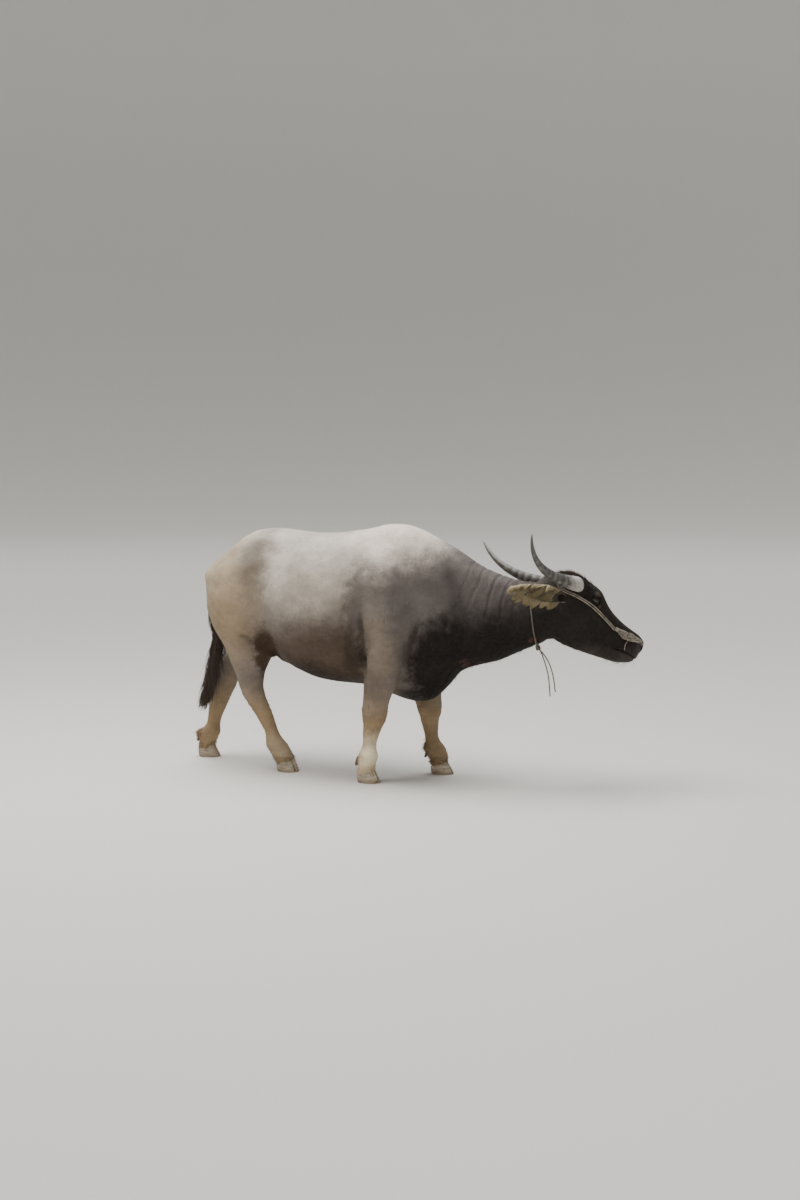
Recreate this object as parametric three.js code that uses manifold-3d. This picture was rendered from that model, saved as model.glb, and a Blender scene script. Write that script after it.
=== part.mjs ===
// A domestic swamp buffalo cow, life size, standing with its head low and turned to its left.
// Lengths are millimetres. The animal faces +X, its left side is +Y and its soles are on Z = 0.
import * as THREE from "three";
import { mergeVertices } from "three/addons/utils/BufferGeometryUtils.js";
import Module from "manifold-3d";

const wasm = await Module();
wasm.setup();

// Gap between neighbouring pieces
const GAP = 0.35;
// Rings along each body, and sides of its sections
const RINGS = { trunk: 28, neck: 15, skull: 28, limb: 21, horn: 26, tail: 16 };
const BODY_SIDES = 20;
const SKULL_SIDES = 22;
// Middle of the animal's outer box, which becomes the origin
const STAND_CENTRE = { x: -44, y: 60 };

// Head: the poll point of the face line, and how the skull is turned there
const HEAD_AT = [861, 187, 1066];
const HEAD_YAW = 36;
const HEAD_PITCH = 45;
const HEAD_ROLL = -9.5;

// Horns: a sweep out, back and up, in the head's own frame for the left side
const HORN_SWEEP = [
  [52, 94, -56],
  [-2, 138, -94],
  [-186, 208, -242],
  [-348, 372, -124],
];
const HORN_BASE_RADIUS = 41;
const HORN_RINGS = 11;

const EYE_AT = [166, 83, -54];
const EYE_RADIUS = 21;
// Half sizes of the opening between the lids, and the slant of its long axis
const LIDS = { long: 21, upper: 11, lower: 10, cos: 0.94, sin: 0.34 };

// Each ear's spine from inside the skull to its tip, the way it opens, and the way its hair hangs
const EARS = {
  "-1": {
    spine: [
      [44, -76, -166],
      [8, -156, -176],
      [-92, -162, -240],
      [-200, -128, -316],
    ],
    open: [0.25, -0.8, -0.35],
    hang: [0.55, -0.1, -0.8],
    lowerEdge: 1,
  },
  1: {
    spine: [
      [44, 76, -166],
      [44, 160, -176],
      [20, 250, -190],
      [-32, 338, -206],
    ],
    open: [0.85, 0.2, -0.45],
    hang: [0.6, 0, -0.75],
    lowerEdge: -1,
  },
};
const EAR_PARTING = 0.2;

// Head cords: one side's places on the skull from the nose to the poll, and which way the pair lies apart
const CORD_RADIUS = 3.5;
const CORD_LIFT = CORD_RADIUS + 3;
const CORD_SPACING = 11;
const HEAD_CORD_ROUTE = [
  { at: [340, 76, -74], apart: [0, 1] },
  { at: [268, 88, -77], apart: [0, 1] },
  { at: [180, 98, -86], apart: [0, 1] },
  { at: [120, 104, -97], apart: [0, 1] },
  { at: [84, 106, -107], apart: [0, 1] },
  { at: [56, 106, -117], apart: [0, 1] },
  { at: [24, 106, -131], apart: [0, 1] },
  { at: [-8, 104, -136], apart: [0.4, 0.9] },
  { at: [-40, 88, -122], apart: [0.8, 0.6] },
  { at: [-56, 60, -106], apart: [0.8, 0.6] },
  { at: [-60, 32, -92], apart: [0.8, 0.6] },
];
const CORD_MIDDLE = { at: [-62, 0, -86], apart: [0.8, 0.6] };
const SKULL_CORE = [30, 0, -130];

// Neck cord: the middle of its loop, the loop's own upward and sideways directions, and its knot
const NECK_CORD_RADIUS = 4;
const NECK_LOOP = { at: [703, 74, 858], up: [-0.1, -0.04, 0.994], across: [-0.3, 0.954, 0] };
const NECK_KNOT_RADIUS = 13;
const CORD_ENDS = {
  neck_cord_end_long: [
    [5, 4, -6],
    [20, 5, -34],
    [44, 3, -96],
    [58, 0, -150],
    [66, 0, -236],
  ],
  neck_cord_end_short: [
    [5, -6, -6],
    [32, -10, -26],
    [66, -14, -72],
    [88, -16, -134],
    [100, -16, -210],
  ],
};

// Claws: outer sizes of one, and the cleft between the two
const CLAW_LENGTH = 118;
const CLAW_WIDTH = 52;
const CLAW_GAP = 9;

// Colours of the hide, horn and cords
const HIDE = { color: 0x6f6a6b, roughness: 0.85, metalness: 0 };
const DARK_HIDE = { color: 0x3a3431, roughness: 0.8, metalness: 0 };
const HORN = { color: 0x7c7a70, roughness: 0.55, metalness: 0 };
const HOOF = { color: 0xa39a85, roughness: 0.6, metalness: 0 };
const EYE = { color: 0x120d0a, roughness: 0.08, metalness: 0 };
const CORD = { color: 0xb9b09b, roughness: 0.95, metalness: 0 };
const TAIL_HAIR = { color: 0x2a211c, roughness: 0.9, metalness: 0 };

const vec = (p) => new THREE.Vector3(p[0], p[1], p[2]);
const mix = (a, b, t) => a + (b - a) * t;
const power = (value, exponent) => Math.sign(value) * Math.abs(value) ** exponent;

// More stations, on smooth curves through the fields of the given ones
function blend(stations, count) {
  const names = Object.keys(stations[0]);
  const curves = names.map(
    (name) =>
      new THREE.CatmullRomCurve3(
        stations.map((s, i) => new THREE.Vector3(i, s[name], 0)),
        false,
        "centripetal",
      ),
  );
  const last = stations[stations.length - 1];
  return Array.from({ length: count }, (_, i) => {
    const t = i / (count - 1);
    const station = {};
    names.forEach((name, j) => {
      station[name] = i === count - 1 ? last[name] : curves[j].getPoint(t).y;
    });
    return station;
  });
}

// A closed surface through rings of the same number of points, with flat or pointed ends
function loft(rings) {
  const sides = rings[0].length;
  const points = rings.flat();
  const faces = [];
  for (let i = 0; i + 1 < rings.length; i++) {
    for (let j = 0; j < sides; j++) {
      const a = i * sides + j;
      const b = i * sides + ((j + 1) % sides);
      faces.push(a, b, a + sides, b, b + sides, a + sides);
    }
  }
  [0, rings.length - 1].forEach((end) => {
    const middle = rings[end].reduce((sum, p) => sum.add(p), new THREE.Vector3());
    points.push(middle.divideScalar(sides));
    for (let j = 0; j < sides; j++) {
      const a = end * sides + j;
      const b = end * sides + ((j + 1) % sides);
      faces.push(points.length - 1, ...(end ? [a, b] : [b, a]));
    }
  });
  return shell(points, faces);
}

// A geometry from points and faces, turned so that its faces point out
function shell(points, faces) {
  let volume = 0;
  for (let i = 0; i < faces.length; i += 3) {
    const [a, b, c] = [points[faces[i]], points[faces[i + 1]], points[faces[i + 2]]];
    volume += a.dot(b.clone().cross(c));
  }
  const index = volume < 0 ? faces.slice().reverse() : faces;
  const geometry = new THREE.BufferGeometry().setFromPoints(points);
  geometry.setIndex(index);
  return geometry;
}

// A geometry as a solid for joining and cutting
function solid(geometry) {
  const bare = geometry.clone();
  bare.deleteAttribute("normal");
  bare.deleteAttribute("uv");
  const merged = mergeVertices(bare, 1e-3);
  const vertProperties = new Float32Array(merged.attributes.position.array);
  const triVerts = new Uint32Array(merged.index.array);
  return new wasm.Manifold(new wasm.Mesh({ numProp: 3, vertProperties, triVerts }));
}

// The largest closed surface of a solid, as a geometry
function largest(body) {
  const pieces = body.decompose().sort((a, b) => b.volume() - a.volume());
  const mesh = pieces[0].getMesh();
  const geometry = new THREE.BufferGeometry();
  geometry.setAttribute("position", new THREE.BufferAttribute(mesh.vertProperties.slice(), 3));
  geometry.setIndex(new THREE.BufferAttribute(mesh.triVerts.slice(), 1));
  return geometry;
}

const join = (bodies) => bodies.reduce((sum, body) => sum.add(body));
const cut = (body, tools) => tools.reduce((rest, tool) => rest.subtract(tool), body);

// What a body has on the side of a plane that its normal points to, less half the gap
function beyond(body, at, normal, gap = GAP / 2) {
  const n = vec(normal).normalize();
  return body.trimByPlane(n.toArray(), n.dot(vec(at)) + gap);
}

// Pushes points out or in round landmarks: each swelling has a place, a reach and a push
function swell(geometry, swellings) {
  const position = geometry.attributes.position;
  for (let i = 0; i < position.count; i++) {
    const p = new THREE.Vector3().fromBufferAttribute(position, i);
    const moved = p.clone();
    swellings.forEach(({ at, reach, push }) => {
      const d = p.clone().sub(vec(at)).divide(vec(reach));
      moved.addScaledVector(vec(push), Math.exp(-d.lengthSq()));
    });
    position.setXYZ(i, moved.x, moved.y, moved.z);
  }
  return geometry;
}

// The same swellings on both sides of the middle plane
const bothSides = (swellings) =>
  swellings.flatMap((s) => [
    s,
    { at: [s.at[0], -s.at[1], s.at[2]], reach: s.reach, push: [s.push[0], -s.push[1], s.push[2]] },
  ]);

// One upright body section, with its own shape above and below its widest place
function section(s, sides, across, origin) {
  return Array.from({ length: sides }, (_, i) => {
    const angle = (2 * Math.PI * i) / sides;
    const roundness = Math.cos(angle) > 0 ? s.upper : s.lower;
    const rise = Math.cos(angle) > 0 ? s.top - s.widest : s.widest - s.bottom;
    const width = s.half * power(Math.sin(angle), 2 / roundness);
    const height = s.widest + rise * power(Math.cos(angle), 2 / roundness);
    return new THREE.Vector3(...origin).addScaledVector(across, width).setZ(origin[2] + height);
  });
}

// The trunk along X, grown all round by a clearance where one is given
function trunk(grow = 0) {
  const stations = [
    { x: -1058, top: 985, bottom: 900, half: 60, widest: 945, upper: 2, lower: 2 },
    { x: -1046, top: 1030, bottom: 840, half: 120, widest: 945, upper: 2, lower: 2 },
    { x: -1005, top: 1084, bottom: 780, half: 172, widest: 955, upper: 2.1, lower: 2 },
    { x: -925, top: 1142, bottom: 715, half: 213, widest: 975, upper: 2.2, lower: 2.1 },
    { x: -774, top: 1236, bottom: 665, half: 240, widest: 1000, upper: 2.3, lower: 2.1 },
    { x: -671, top: 1236, bottom: 598, half: 248, widest: 930, upper: 2.4, lower: 2.2 },
    { x: -560, top: 1229, bottom: 532, half: 268, widest: 830, upper: 2, lower: 2.3 },
    { x: -410, top: 1223, bottom: 472, half: 300, widest: 790, upper: 1.9, lower: 2.3 },
    { x: -250, top: 1240, bottom: 460, half: 305, widest: 790, upper: 1.85, lower: 2.2 },
    { x: -110, top: 1266, bottom: 456, half: 282, widest: 800, upper: 1.8, lower: 2 },
    { x: 0, top: 1292, bottom: 405, half: 258, widest: 800, upper: 1.75, lower: 1.75 },
    { x: 90, top: 1281, bottom: 381, half: 240, widest: 800, upper: 1.75, lower: 1.65 },
    { x: 190, top: 1240, bottom: 396, half: 212, widest: 800, upper: 1.8, lower: 1.65 },
    { x: 270, top: 1195, bottom: 468, half: 178, widest: 800, upper: 1.9, lower: 1.8 },
    { x: 345, top: 1090, bottom: 560, half: 128, widest: 790, upper: 2, lower: 2 },
    { x: 375, top: 960, bottom: 640, half: 62, widest: 790, upper: 2, lower: 2 },
  ];
  const across = new THREE.Vector3(0, 1, 0);
  const filled = blend(stations, RINGS.trunk);
  const rings = filled.map((s, i) => {
    const end = i === 0 ? -grow : i === filled.length - 1 ? grow : 0;
    const grown = { ...s, top: s.top + grow, bottom: s.bottom - grow, half: s.half + 1.5 * grow };
    return section(grown, BODY_SIDES, across, [s.x + end, 0, 0]);
  });
  const swellings = bothSides([
    // hook bone of the pelvis
    { at: [-671, 215, 1195], reach: [62, 75, 75], push: [0, 26, 24] },
    // hollow of the loin in front of it
    { at: [-545, 240, 1075], reach: [80, 120, 110], push: [0, -34, -10] },
    // pin bone
    { at: [-1030, 118, 975], reach: [60, 60, 75], push: [-14, 12, 8] },
    // hollow beside the tail head
    { at: [-960, 110, 1120], reach: [80, 60, 70], push: [0, 0, -12] },
    // shoulder blade
    { at: [70, 220, 1010], reach: [120, 130, 190], push: [0, 16, 0] },
    // point of the shoulder
    { at: [285, 160, 745], reach: [90, 90, 110], push: [22, 26, 0] },
    // hollow behind the shoulder
    { at: [-120, 270, 950], reach: [80, 120, 190], push: [0, -12, 0] },
  ]);
  return solid(swell(loft(rings), swellings));
}

// The neck, from inside the chest to inside the skull
function neckBody() {
  const stations = [
    { x: 170, y: 0, top: 1240, bottom: 600, half: 165, widest: 850, upper: 1.8, lower: 2 },
    { x: 290, y: 2, top: 1194, bottom: 525, half: 150, widest: 820, upper: 1.8, lower: 2 },
    { x: 380, y: 8, top: 1141, bottom: 572, half: 132, widest: 810, upper: 1.8, lower: 2 },
    { x: 460, y: 20, top: 1093, bottom: 594, half: 117, widest: 815, upper: 1.8, lower: 2 },
    { x: 545, y: 36, top: 1055, bottom: 616, half: 105, widest: 825, upper: 1.8, lower: 2 },
    { x: 640, y: 58, top: 1027, bottom: 662, half: 98, widest: 845, upper: 1.9, lower: 2 },
    { x: 735, y: 88, top: 1003, bottom: 706, half: 94, widest: 860, upper: 2, lower: 2 },
    { x: 800, y: 112, top: 1008, bottom: 742, half: 84, widest: 880, upper: 2, lower: 2 },
    { x: 850, y: 130, top: 985, bottom: 800, half: 55, widest: 890, upper: 2, lower: 2 },
  ];
  const filled = blend(stations, RINGS.neck);
  const rings = filled.map((s, i) => {
    const a = filled[Math.max(0, i - 1)];
    const b = filled[Math.min(filled.length - 1, i + 1)];
    const across = new THREE.Vector3(a.y - b.y, b.x - a.x, 0).normalize();
    return section(s, BODY_SIDES, across, [s.x, s.y, 0]);
  });
  return solid(loft(rings));
}

// The skull's frame: X along the face line to the nose, Y to the animal's left, Z out of the face
function headFrame() {
  const turn = new THREE.Euler(
    THREE.MathUtils.degToRad(HEAD_ROLL),
    THREE.MathUtils.degToRad(HEAD_PITCH),
    THREE.MathUtils.degToRad(HEAD_YAW),
    "ZYX",
  );
  const frame = new THREE.Matrix4().makeRotationFromEuler(turn);
  return frame.setPosition(...HEAD_AT);
}

// A tube along a smooth route
function tube(route, radius, sides, steps, closed = false) {
  const curve = new THREE.CatmullRomCurve3(route.map(vec), closed, "centripetal");
  const outline = new THREE.Shape();
  for (let i = 0; i < sides; i++) {
    const angle = (2 * Math.PI * i) / sides;
    const move = i ? "lineTo" : "moveTo";
    outline[move](radius * Math.cos(angle), radius * Math.sin(angle));
  }
  return new THREE.ExtrudeGeometry(outline, { steps, extrudePath: curve, bevelEnabled: false });
}

// An ellipsoid at a place, with its own half sizes and its faces across and down
function ellipsoid(at, size, across, down) {
  const ball = new THREE.SphereGeometry(1, across, down);
  ball.scale(...size);
  ball.translate(...at);
  return ball;
}

// The skull with cheeks and muzzle, in its own frame
function skull() {
  const stations = [
    { x: -82, top: -95, bottom: -215, half: 50, widest: -155, upper: 2, lower: 2 },
    { x: -48, top: -58, bottom: -268, half: 86, widest: -150, upper: 2.2, lower: 2.1 },
    { x: 0, top: -16, bottom: -296, half: 98, widest: -130, upper: 2.6, lower: 2.1 },
    { x: 50, top: 2, bottom: -308, half: 103, widest: -125, upper: 2.9, lower: 2 },
    { x: 110, top: 12, bottom: -314, half: 103, widest: -120, upper: 3, lower: 1.9 },
    { x: 170, top: 17, bottom: -314, half: 99, widest: -110, upper: 3, lower: 1.85 },
    { x: 210, top: 5, bottom: -305, half: 93, widest: -105, upper: 2.8, lower: 1.8 },
    { x: 260, top: -7, bottom: -285, half: 82, widest: -105, upper: 2.5, lower: 1.8 },
    { x: 320, top: -11, bottom: -258, half: 71, widest: -105, upper: 2.3, lower: 1.8 },
    { x: 380, top: -9, bottom: -228, half: 64, widest: -98, upper: 2.3, lower: 1.9 },
    { x: 425, top: -3, bottom: -204, half: 64, widest: -86, upper: 2.4, lower: 2 },
    { x: 462, top: 2, bottom: -182, half: 69, widest: -76, upper: 2.5, lower: 2.1 },
    { x: 492, top: -4, bottom: -160, half: 68, widest: -76, upper: 2.4, lower: 2.2 },
    { x: 514, top: -24, bottom: -138, half: 57, widest: -80, upper: 2.2, lower: 2.2 },
    { x: 527, top: -52, bottom: -112, half: 32, widest: -82, upper: 2, lower: 2 },
  ];
  const across = new THREE.Vector3(0, 1, 0);
  const rings = blend(stations, RINGS.skull).map((s) => section(s, SKULL_SIDES, across, [s.x, 0, 0]));
  const swellings = bothSides([
    // brow over the eye
    { at: [158, 96, -18], reach: [38, 40, 32], push: [0, 9, 13] },
    // cheekbone below the eye
    { at: [205, 96, -92], reach: [70, 50, 26], push: [0, 7, 0] },
    // hollow of the temple
    { at: [96, 104, -72], reach: [32, 40, 30], push: [0, -10, 0] },
    // chewing muscle
    { at: [130, 92, -190], reach: [75, 60, 80], push: [0, 12, -2] },
    // wing of the nostril
    { at: [482, 50, -26], reach: [28, 26, 24], push: [2, 7, 6] },
    // upper lip over the mouth
    { at: [490, 60, -92], reach: [34, 30, 18], push: [0, 5, 0] },
    // lower lip
    { at: [492, 44, -132], reach: [30, 40, 16], push: [4, 3, -4] },
  ]);
  return solid(swell(loft(rings), swellings));
}

// The opening between the lids, an almond along the eye's own axis
function lidOpening(side) {
  const corners = 10;
  const ring = (reach) =>
    Array.from({ length: corners }, (_, i) => {
      const angle = (2 * Math.PI * i) / corners;
      const along = LIDS.long * power(Math.cos(angle), 0.9);
      const up = (Math.sin(angle) > 0 ? LIDS.upper : LIDS.lower) * power(Math.sin(angle), 1.25);
      const [x, y, z] = EYE_AT;
      const { cos, sin } = LIDS;
      return new THREE.Vector3(x + along * cos - up * sin, side * (y + reach), z + up * cos + along * sin);
    });
  return solid(loft([ring(6), ring(60)]));
}

function eyeball(side, radius) {
  return ellipsoid([EYE_AT[0], side * EYE_AT[1], EYE_AT[2]], [radius, radius, radius], 10, 7);
}

// Rings of a horn from its base to its tip, wide in the plane of its sweep
function hornRings(side, grow = 0) {
  const sweep = HORN_SWEEP.map(([x, y, z]) => new THREE.Vector3(x, side * y, z));
  const curve = new THREE.CubicBezierCurve3(...sweep);
  const sides = 10;
  const flat = new THREE.Vector3(0.42, 0, 0.9).normalize();
  const rings = Array.from({ length: RINGS.horn }, (_, i) => {
    const t = i / (RINGS.horn - 1);
    const axis = curve.getTangent(t);
    const wide = axis.clone().cross(flat).normalize();
    const thin = wide.clone().cross(axis).normalize();
    const taper = (1 - t) ** 0.62 * (1 - 0.1 * t) + 0.03;
    const ridge = 1 + 0.045 * Math.cos(2 * Math.PI * HORN_RINGS * t) * (1 - t) ** 0.5;
    const radius = HORN_BASE_RADIUS * taper * ridge;
    return Array.from({ length: sides }, (_, j) => {
      const angle = (2 * Math.PI * j) / sides;
      const w = (1.06 * radius + grow) * Math.cos(angle);
      const h = (0.84 * radius + grow) * Math.sin(angle);
      return curve.getPoint(t).addScaledVector(wide, w).addScaledVector(thin, h);
    });
  });
  if (grow) {
    const back = curve.getTangent(0).multiplyScalar(-2 * grow);
    rings.unshift(rings[0].map((p) => p.clone().add(back)));
  }
  return rings;
}

// The ear's spine, the way its cup opens, and the axes at one place along it
function earPlace(side, t) {
  const { spine, open } = EARS[side];
  const curve = new THREE.CubicBezierCurve3(...spine.map(vec));
  const along = curve.getTangent(t);
  const out = vec(open);
  out.addScaledVector(along, -out.dot(along)).normalize();
  return { at: curve.getPoint(t), along, out, across: along.clone().cross(out) };
}

// Half the width of the ear at one place along it
const EAR_RADII = new THREE.CatmullRomCurve3(
  [19, 24, 37, 45, 44, 34, 9].map((radius, i) => new THREE.Vector3(i, radius, 0)),
);
const earRadius = (t) => EAR_RADII.getPoint(t).y;

// How far round the cup closes, as half an angle: a tube at the root, open towards the tip
const earWrap = (t) => mix(2.75, 1.2, Math.min(1, 1.6 * t) ** 0.8);

// A point of the ear's skin, by its place along, its angle round the cup, and how deep it lies
function earPoint(side, t, angle, depth) {
  const { at, out, across } = earPlace(side, t);
  const radius = Math.max(earRadius(t) - depth, 2);
  return at
    .addScaledVector(across, radius * Math.sin(angle))
    .addScaledVector(out, 0.45 * earRadius(t) - radius * Math.cos(angle));
}

// A cupped leaf: each section is a thin crescent, open to one side
function earCup(side) {
  const count = 10;
  const arc = 5;
  const rings = Array.from({ length: count }, (_, i) => {
    const t = i / (count - 1);
    const wrap = earWrap(t);
    const thick = mix(9, 3, t);
    const sweep = (from, to, depth) =>
      Array.from({ length: arc }, (_, j) => earPoint(side, t, mix(from, to, j / (arc - 1)), depth));
    return [...sweep(-wrap, wrap, 0), ...sweep(0.97 * wrap, -0.97 * wrap, thick)];
  });
  return solid(loft(rings));
}

// Locks that hang from the lower edge of the ear and from inside its cup
function earFringe(side) {
  const { hang } = EARS[side];
  const row = (count, share, length, width) =>
    Array.from({ length: count }, (_, i) => {
      const t = mix(0.24, 0.96, (i + 0.5) / count);
      const { along, out } = earPlace(side, t);
      const root = earPoint(side, t, share * earWrap(t), 2.5);
      const fall = vec(hang).addScaledVector(along, 0.35 + 0.2 * Math.sin(5 * i)).normalize();
      const wave = 1 + 0.16 * Math.sin(3.7 * i + 1);
      const lie = out.clone().multiplyScalar(0.55).addScaledVector(fall, 0.8).normalize();
      return solid(lock({ root, out: lie, fall, length: length * wave, width, across: along, sink: 2 }));
    });
  const lower = EARS[side].lowerEdge;
  return [...row(6, lower * 0.85, 76, 56), ...row(3, lower * 0.1, 100, 66)];
}

// A flat tapered lock of hair, bent from its sunk root to its point
function lock({ root, out, fall, length, width, across, sink }) {
  const steps = 3;
  const flat = out.clone().cross(across).normalize();
  const rings = Array.from({ length: steps + 1 }, (_, i) => {
    const t = i / steps;
    const centre = root
      .clone()
      .addScaledVector(out, length * (0.7 * t - 0.4 * t * t) - sink)
      .addScaledVector(fall, length * 0.7 * t * t);
    const w = 0.5 * width * (1 - t) ** 0.45 + 0.5;
    const h = 0.16 * width * (1 - 0.8 * t) + 0.4;
    return [w, h, -w, -h].map((reach, j) =>
      centre.clone().addScaledVector(j % 2 ? flat : across, reach),
    );
  });
  return loft(rings);
}

// A limb through flat sections, each from its rear edge to its front edge
function limb(stations, side) {
  const sides = 12;
  const rings = blend(stations, RINGS.limb).map((s) =>
    Array.from({ length: sides }, (_, i) => {
      const angle = (2 * Math.PI * i) / sides;
      const middle = (s.rear + s.front) / 2;
      const length = (s.front - s.rear) / 2;
      const x = middle + length * power(Math.cos(angle), 0.88);
      const y = side * s.y + s.half * power(Math.sin(angle), 0.88);
      return new THREE.Vector3(x, y, s.z);
    }),
  );
  return solid(loft(rings));
}

// Each foot: where its sole lies, which way it points, and how far behind lies the fetlock's rear
const FEET = {
  foreleg_right: { x: -60, y: -194, turn: -10, fetlock: -58 },
  foreleg_left: { x: 158, y: 190, turn: 6, fetlock: -78 },
  hindleg_right: { x: -574, y: -102, turn: -20, fetlock: -104 },
  hindleg_left: { x: -1168, y: 98, turn: 4, fetlock: -52 },
};

const LEGS = {
  foreleg_right: [
    { z: 880, rear: -30, front: 180, y: 145, half: 50 },
    { z: 780, rear: -50, front: 196, y: 164, half: 60 },
    { z: 670, rear: -74, front: 172, y: 188, half: 72 },
    { z: 580, rear: -82, front: 122, y: 198, half: 68 },
    { z: 510, rear: -84, front: 96, y: 198, half: 58 },
    { z: 420, rear: -92, front: 52, y: 196, half: 48 },
    { z: 360, rear: -99, front: 34, y: 194, half: 50 },
    { z: 315, rear: -101, front: 25, y: 193, half: 49 },
    { z: 270, rear: -99, front: 3, y: 192, half: 40 },
    { z: 215, rear: -101, front: -17, y: 192, half: 34 },
    { z: 165, rear: -110, front: -23, y: 192, half: 36 },
    { z: 128, rear: -126, front: -20, y: 193, half: 47 },
    { z: 96, rear: -124, front: -30, y: 194, half: 47 },
    { z: 66, rear: -120, front: -30, y: 194, half: 51 },
    { z: 30, rear: -112, front: -28, y: 194, half: 50 },
  ],
  foreleg_left: [
    { z: 880, rear: -10, front: 200, y: 145, half: 50 },
    { z: 780, rear: -24, front: 222, y: 164, half: 60 },
    { z: 670, rear: -34, front: 202, y: 186, half: 72 },
    { z: 560, rear: -30, front: 172, y: 194, half: 66 },
    { z: 490, rear: -18, front: 156, y: 194, half: 56 },
    { z: 420, rear: 0, front: 147, y: 192, half: 48 },
    { z: 355, rear: 12, front: 144, y: 190, half: 50 },
    { z: 310, rear: 20, front: 143, y: 190, half: 48 },
    { z: 265, rear: 36, front: 132, y: 189, half: 39 },
    { z: 210, rear: 52, front: 132, y: 188, half: 34 },
    { z: 165, rear: 60, front: 141, y: 188, half: 36 },
    { z: 128, rear: 66, front: 166, y: 189, half: 47 },
    { z: 96, rear: 80, front: 182, y: 190, half: 47 },
    { z: 66, rear: 94, front: 190, y: 190, half: 51 },
    { z: 30, rear: 104, front: 192, y: 190, half: 50 },
  ],
  hindleg_right: [
    { z: 1090, rear: -930, front: -700, y: 120, half: 50 },
    { z: 1000, rear: -1004, front: -660, y: 138, half: 80 },
    { z: 900, rear: -1034, front: -625, y: 152, half: 95 },
    { z: 800, rear: -1018, front: -602, y: 162, half: 101 },
    { z: 710, rear: -968, front: -592, y: 164, half: 98 },
    { z: 640, rear: -922, front: -604, y: 158, half: 88 },
    { z: 560, rear: -880, front: -668, y: 150, half: 70 },
    { z: 480, rear: -850, front: -700, y: 142, half: 55 },
    { z: 420, rear: -833, front: -706, y: 137, half: 46 },
    { z: 372, rear: -817, front: -696, y: 132, half: 45 },
    { z: 320, rear: -774, front: -668, y: 127, half: 43 },
    { z: 250, rear: -730, front: -646, y: 120, half: 36 },
    { z: 190, rear: -702, front: -622, y: 113, half: 36 },
    { z: 140, rear: -698, front: -592, y: 107, half: 46 },
    { z: 96, rear: -678, front: -562, y: 103, half: 48 },
    { z: 66, rear: -646, front: -538, y: 100, half: 51 },
    { z: 30, rear: -630, front: -530, y: 100, half: 50 },
  ],
  hindleg_left: [
    { z: 1090, rear: -940, front: -710, y: 120, half: 50 },
    { z: 1000, rear: -1010, front: -670, y: 138, half: 80 },
    { z: 900, rear: -1042, front: -650, y: 152, half: 95 },
    { z: 800, rear: -1056, front: -652, y: 162, half: 101 },
    { z: 710, rear: -1072, front: -668, y: 164, half: 98 },
    { z: 640, rear: -1078, front: -710, y: 158, half: 86 },
    { z: 560, rear: -1098, front: -850, y: 145, half: 68 },
    { z: 480, rear: -1130, front: -975, y: 128, half: 54 },
    { z: 420, rear: -1152, front: -1008, y: 116, half: 46 },
    { z: 360, rear: -1170, front: -1030, y: 108, half: 45 },
    { z: 300, rear: -1170, front: -1058, y: 103, half: 42 },
    { z: 235, rear: -1174, front: -1090, y: 100, half: 36 },
    { z: 180, rear: -1186, front: -1106, y: 98, half: 36 },
    { z: 128, rear: -1216, front: -1114, y: 97, half: 46 },
    { z: 96, rear: -1228, front: -1128, y: 97, half: 47 },
    { z: 66, rear: -1226, front: -1136, y: 98, half: 51 },
    { z: 30, rear: -1216, front: -1136, y: 98, half: 50 },
  ],
};

// The rim of a claw in its foot's frame, straight beside the cleft and round outside
function clawRim({ heel, toe, width, drop }, outer) {
  const count = 10;
  return Array.from({ length: count }, (_, i) => {
    const angle = (2 * Math.PI * i) / count;
    const x = mix(heel, toe, (1 + Math.cos(angle)) / 2);
    const forward = (x - heel) / (toe - heel);
    const bow = Math.sin(angle) > 0 ? width * power(Math.sin(angle), 0.72) * (1 - 0.22 * forward) : 0;
    const z = drop[0] + drop[1] * forward;
    return new THREE.Vector3(x, outer * (CLAW_GAP / 2 + bow + 3 * forward * (1 - forward)), z);
  });
}

// One claw from its flat sole to the slanted hair line above it
function claw(outer) {
  const half = CLAW_LENGTH / 2;
  return loft([
    clawRim({ heel: -half, toe: half, width: CLAW_WIDTH, drop: [0, 0] }, outer),
    clawRim({ heel: -half - 4, toe: half - 5, width: CLAW_WIDTH + 1, drop: [12, 3] }, outer),
    clawRim({ heel: -half - 6, toe: half - 24, width: CLAW_WIDTH - 2, drop: [30, 16] }, outer),
    clawRim({ heel: -half - 2, toe: half - 42, width: CLAW_WIDTH - 7, drop: [44, 30] }, outer),
  ]);
}

// The plane of the hair line over both claws, in the foot's frame
const HAIR_LINE = { at: [-61, 0, 44], normal: [-30, 0, 76] };

// A small claw that hangs behind the fetlock, from its root to its blunt tip
function dewClaw(outer, rear, grow = 0) {
  const count = 4;
  const rings = Array.from({ length: count }, (_, ring) => {
    const t = ring / (count - 1);
    const radius = 15 * (1 - 0.5 * t * t) + grow;
    const middle = new THREE.Vector3(rear - 15 * t, outer * (20 + 5 * t), 128 - 66 * t);
    middle.z += grow * (1 - 2 * t);
    return Array.from({ length: 7 }, (_, i) => {
      const angle = (2 * Math.PI * i) / 7;
      const deep = radius * Math.cos(angle);
      return middle.clone().add(new THREE.Vector3(0.72 * deep, radius * Math.sin(angle), 0.3 * deep));
    });
  });
  return loft(rings);
}

function footFrame(foot) {
  const frame = new THREE.Matrix4().makeRotationZ(THREE.MathUtils.degToRad(foot.turn));
  return frame.setPosition(foot.x, foot.y, 0);
}

const placed = (geometry, frame) => geometry.clone().applyMatrix4(frame);
const placePoint = (p, frame) => vec(p).applyMatrix4(frame).toArray();
const placeDirection = (p, frame) => vec(p).transformDirection(frame).toArray();

const buffalo = new THREE.Group();
buffalo.position.set(-STAND_CENTRE.x, -STAND_CENTRE.y, 0);

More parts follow.
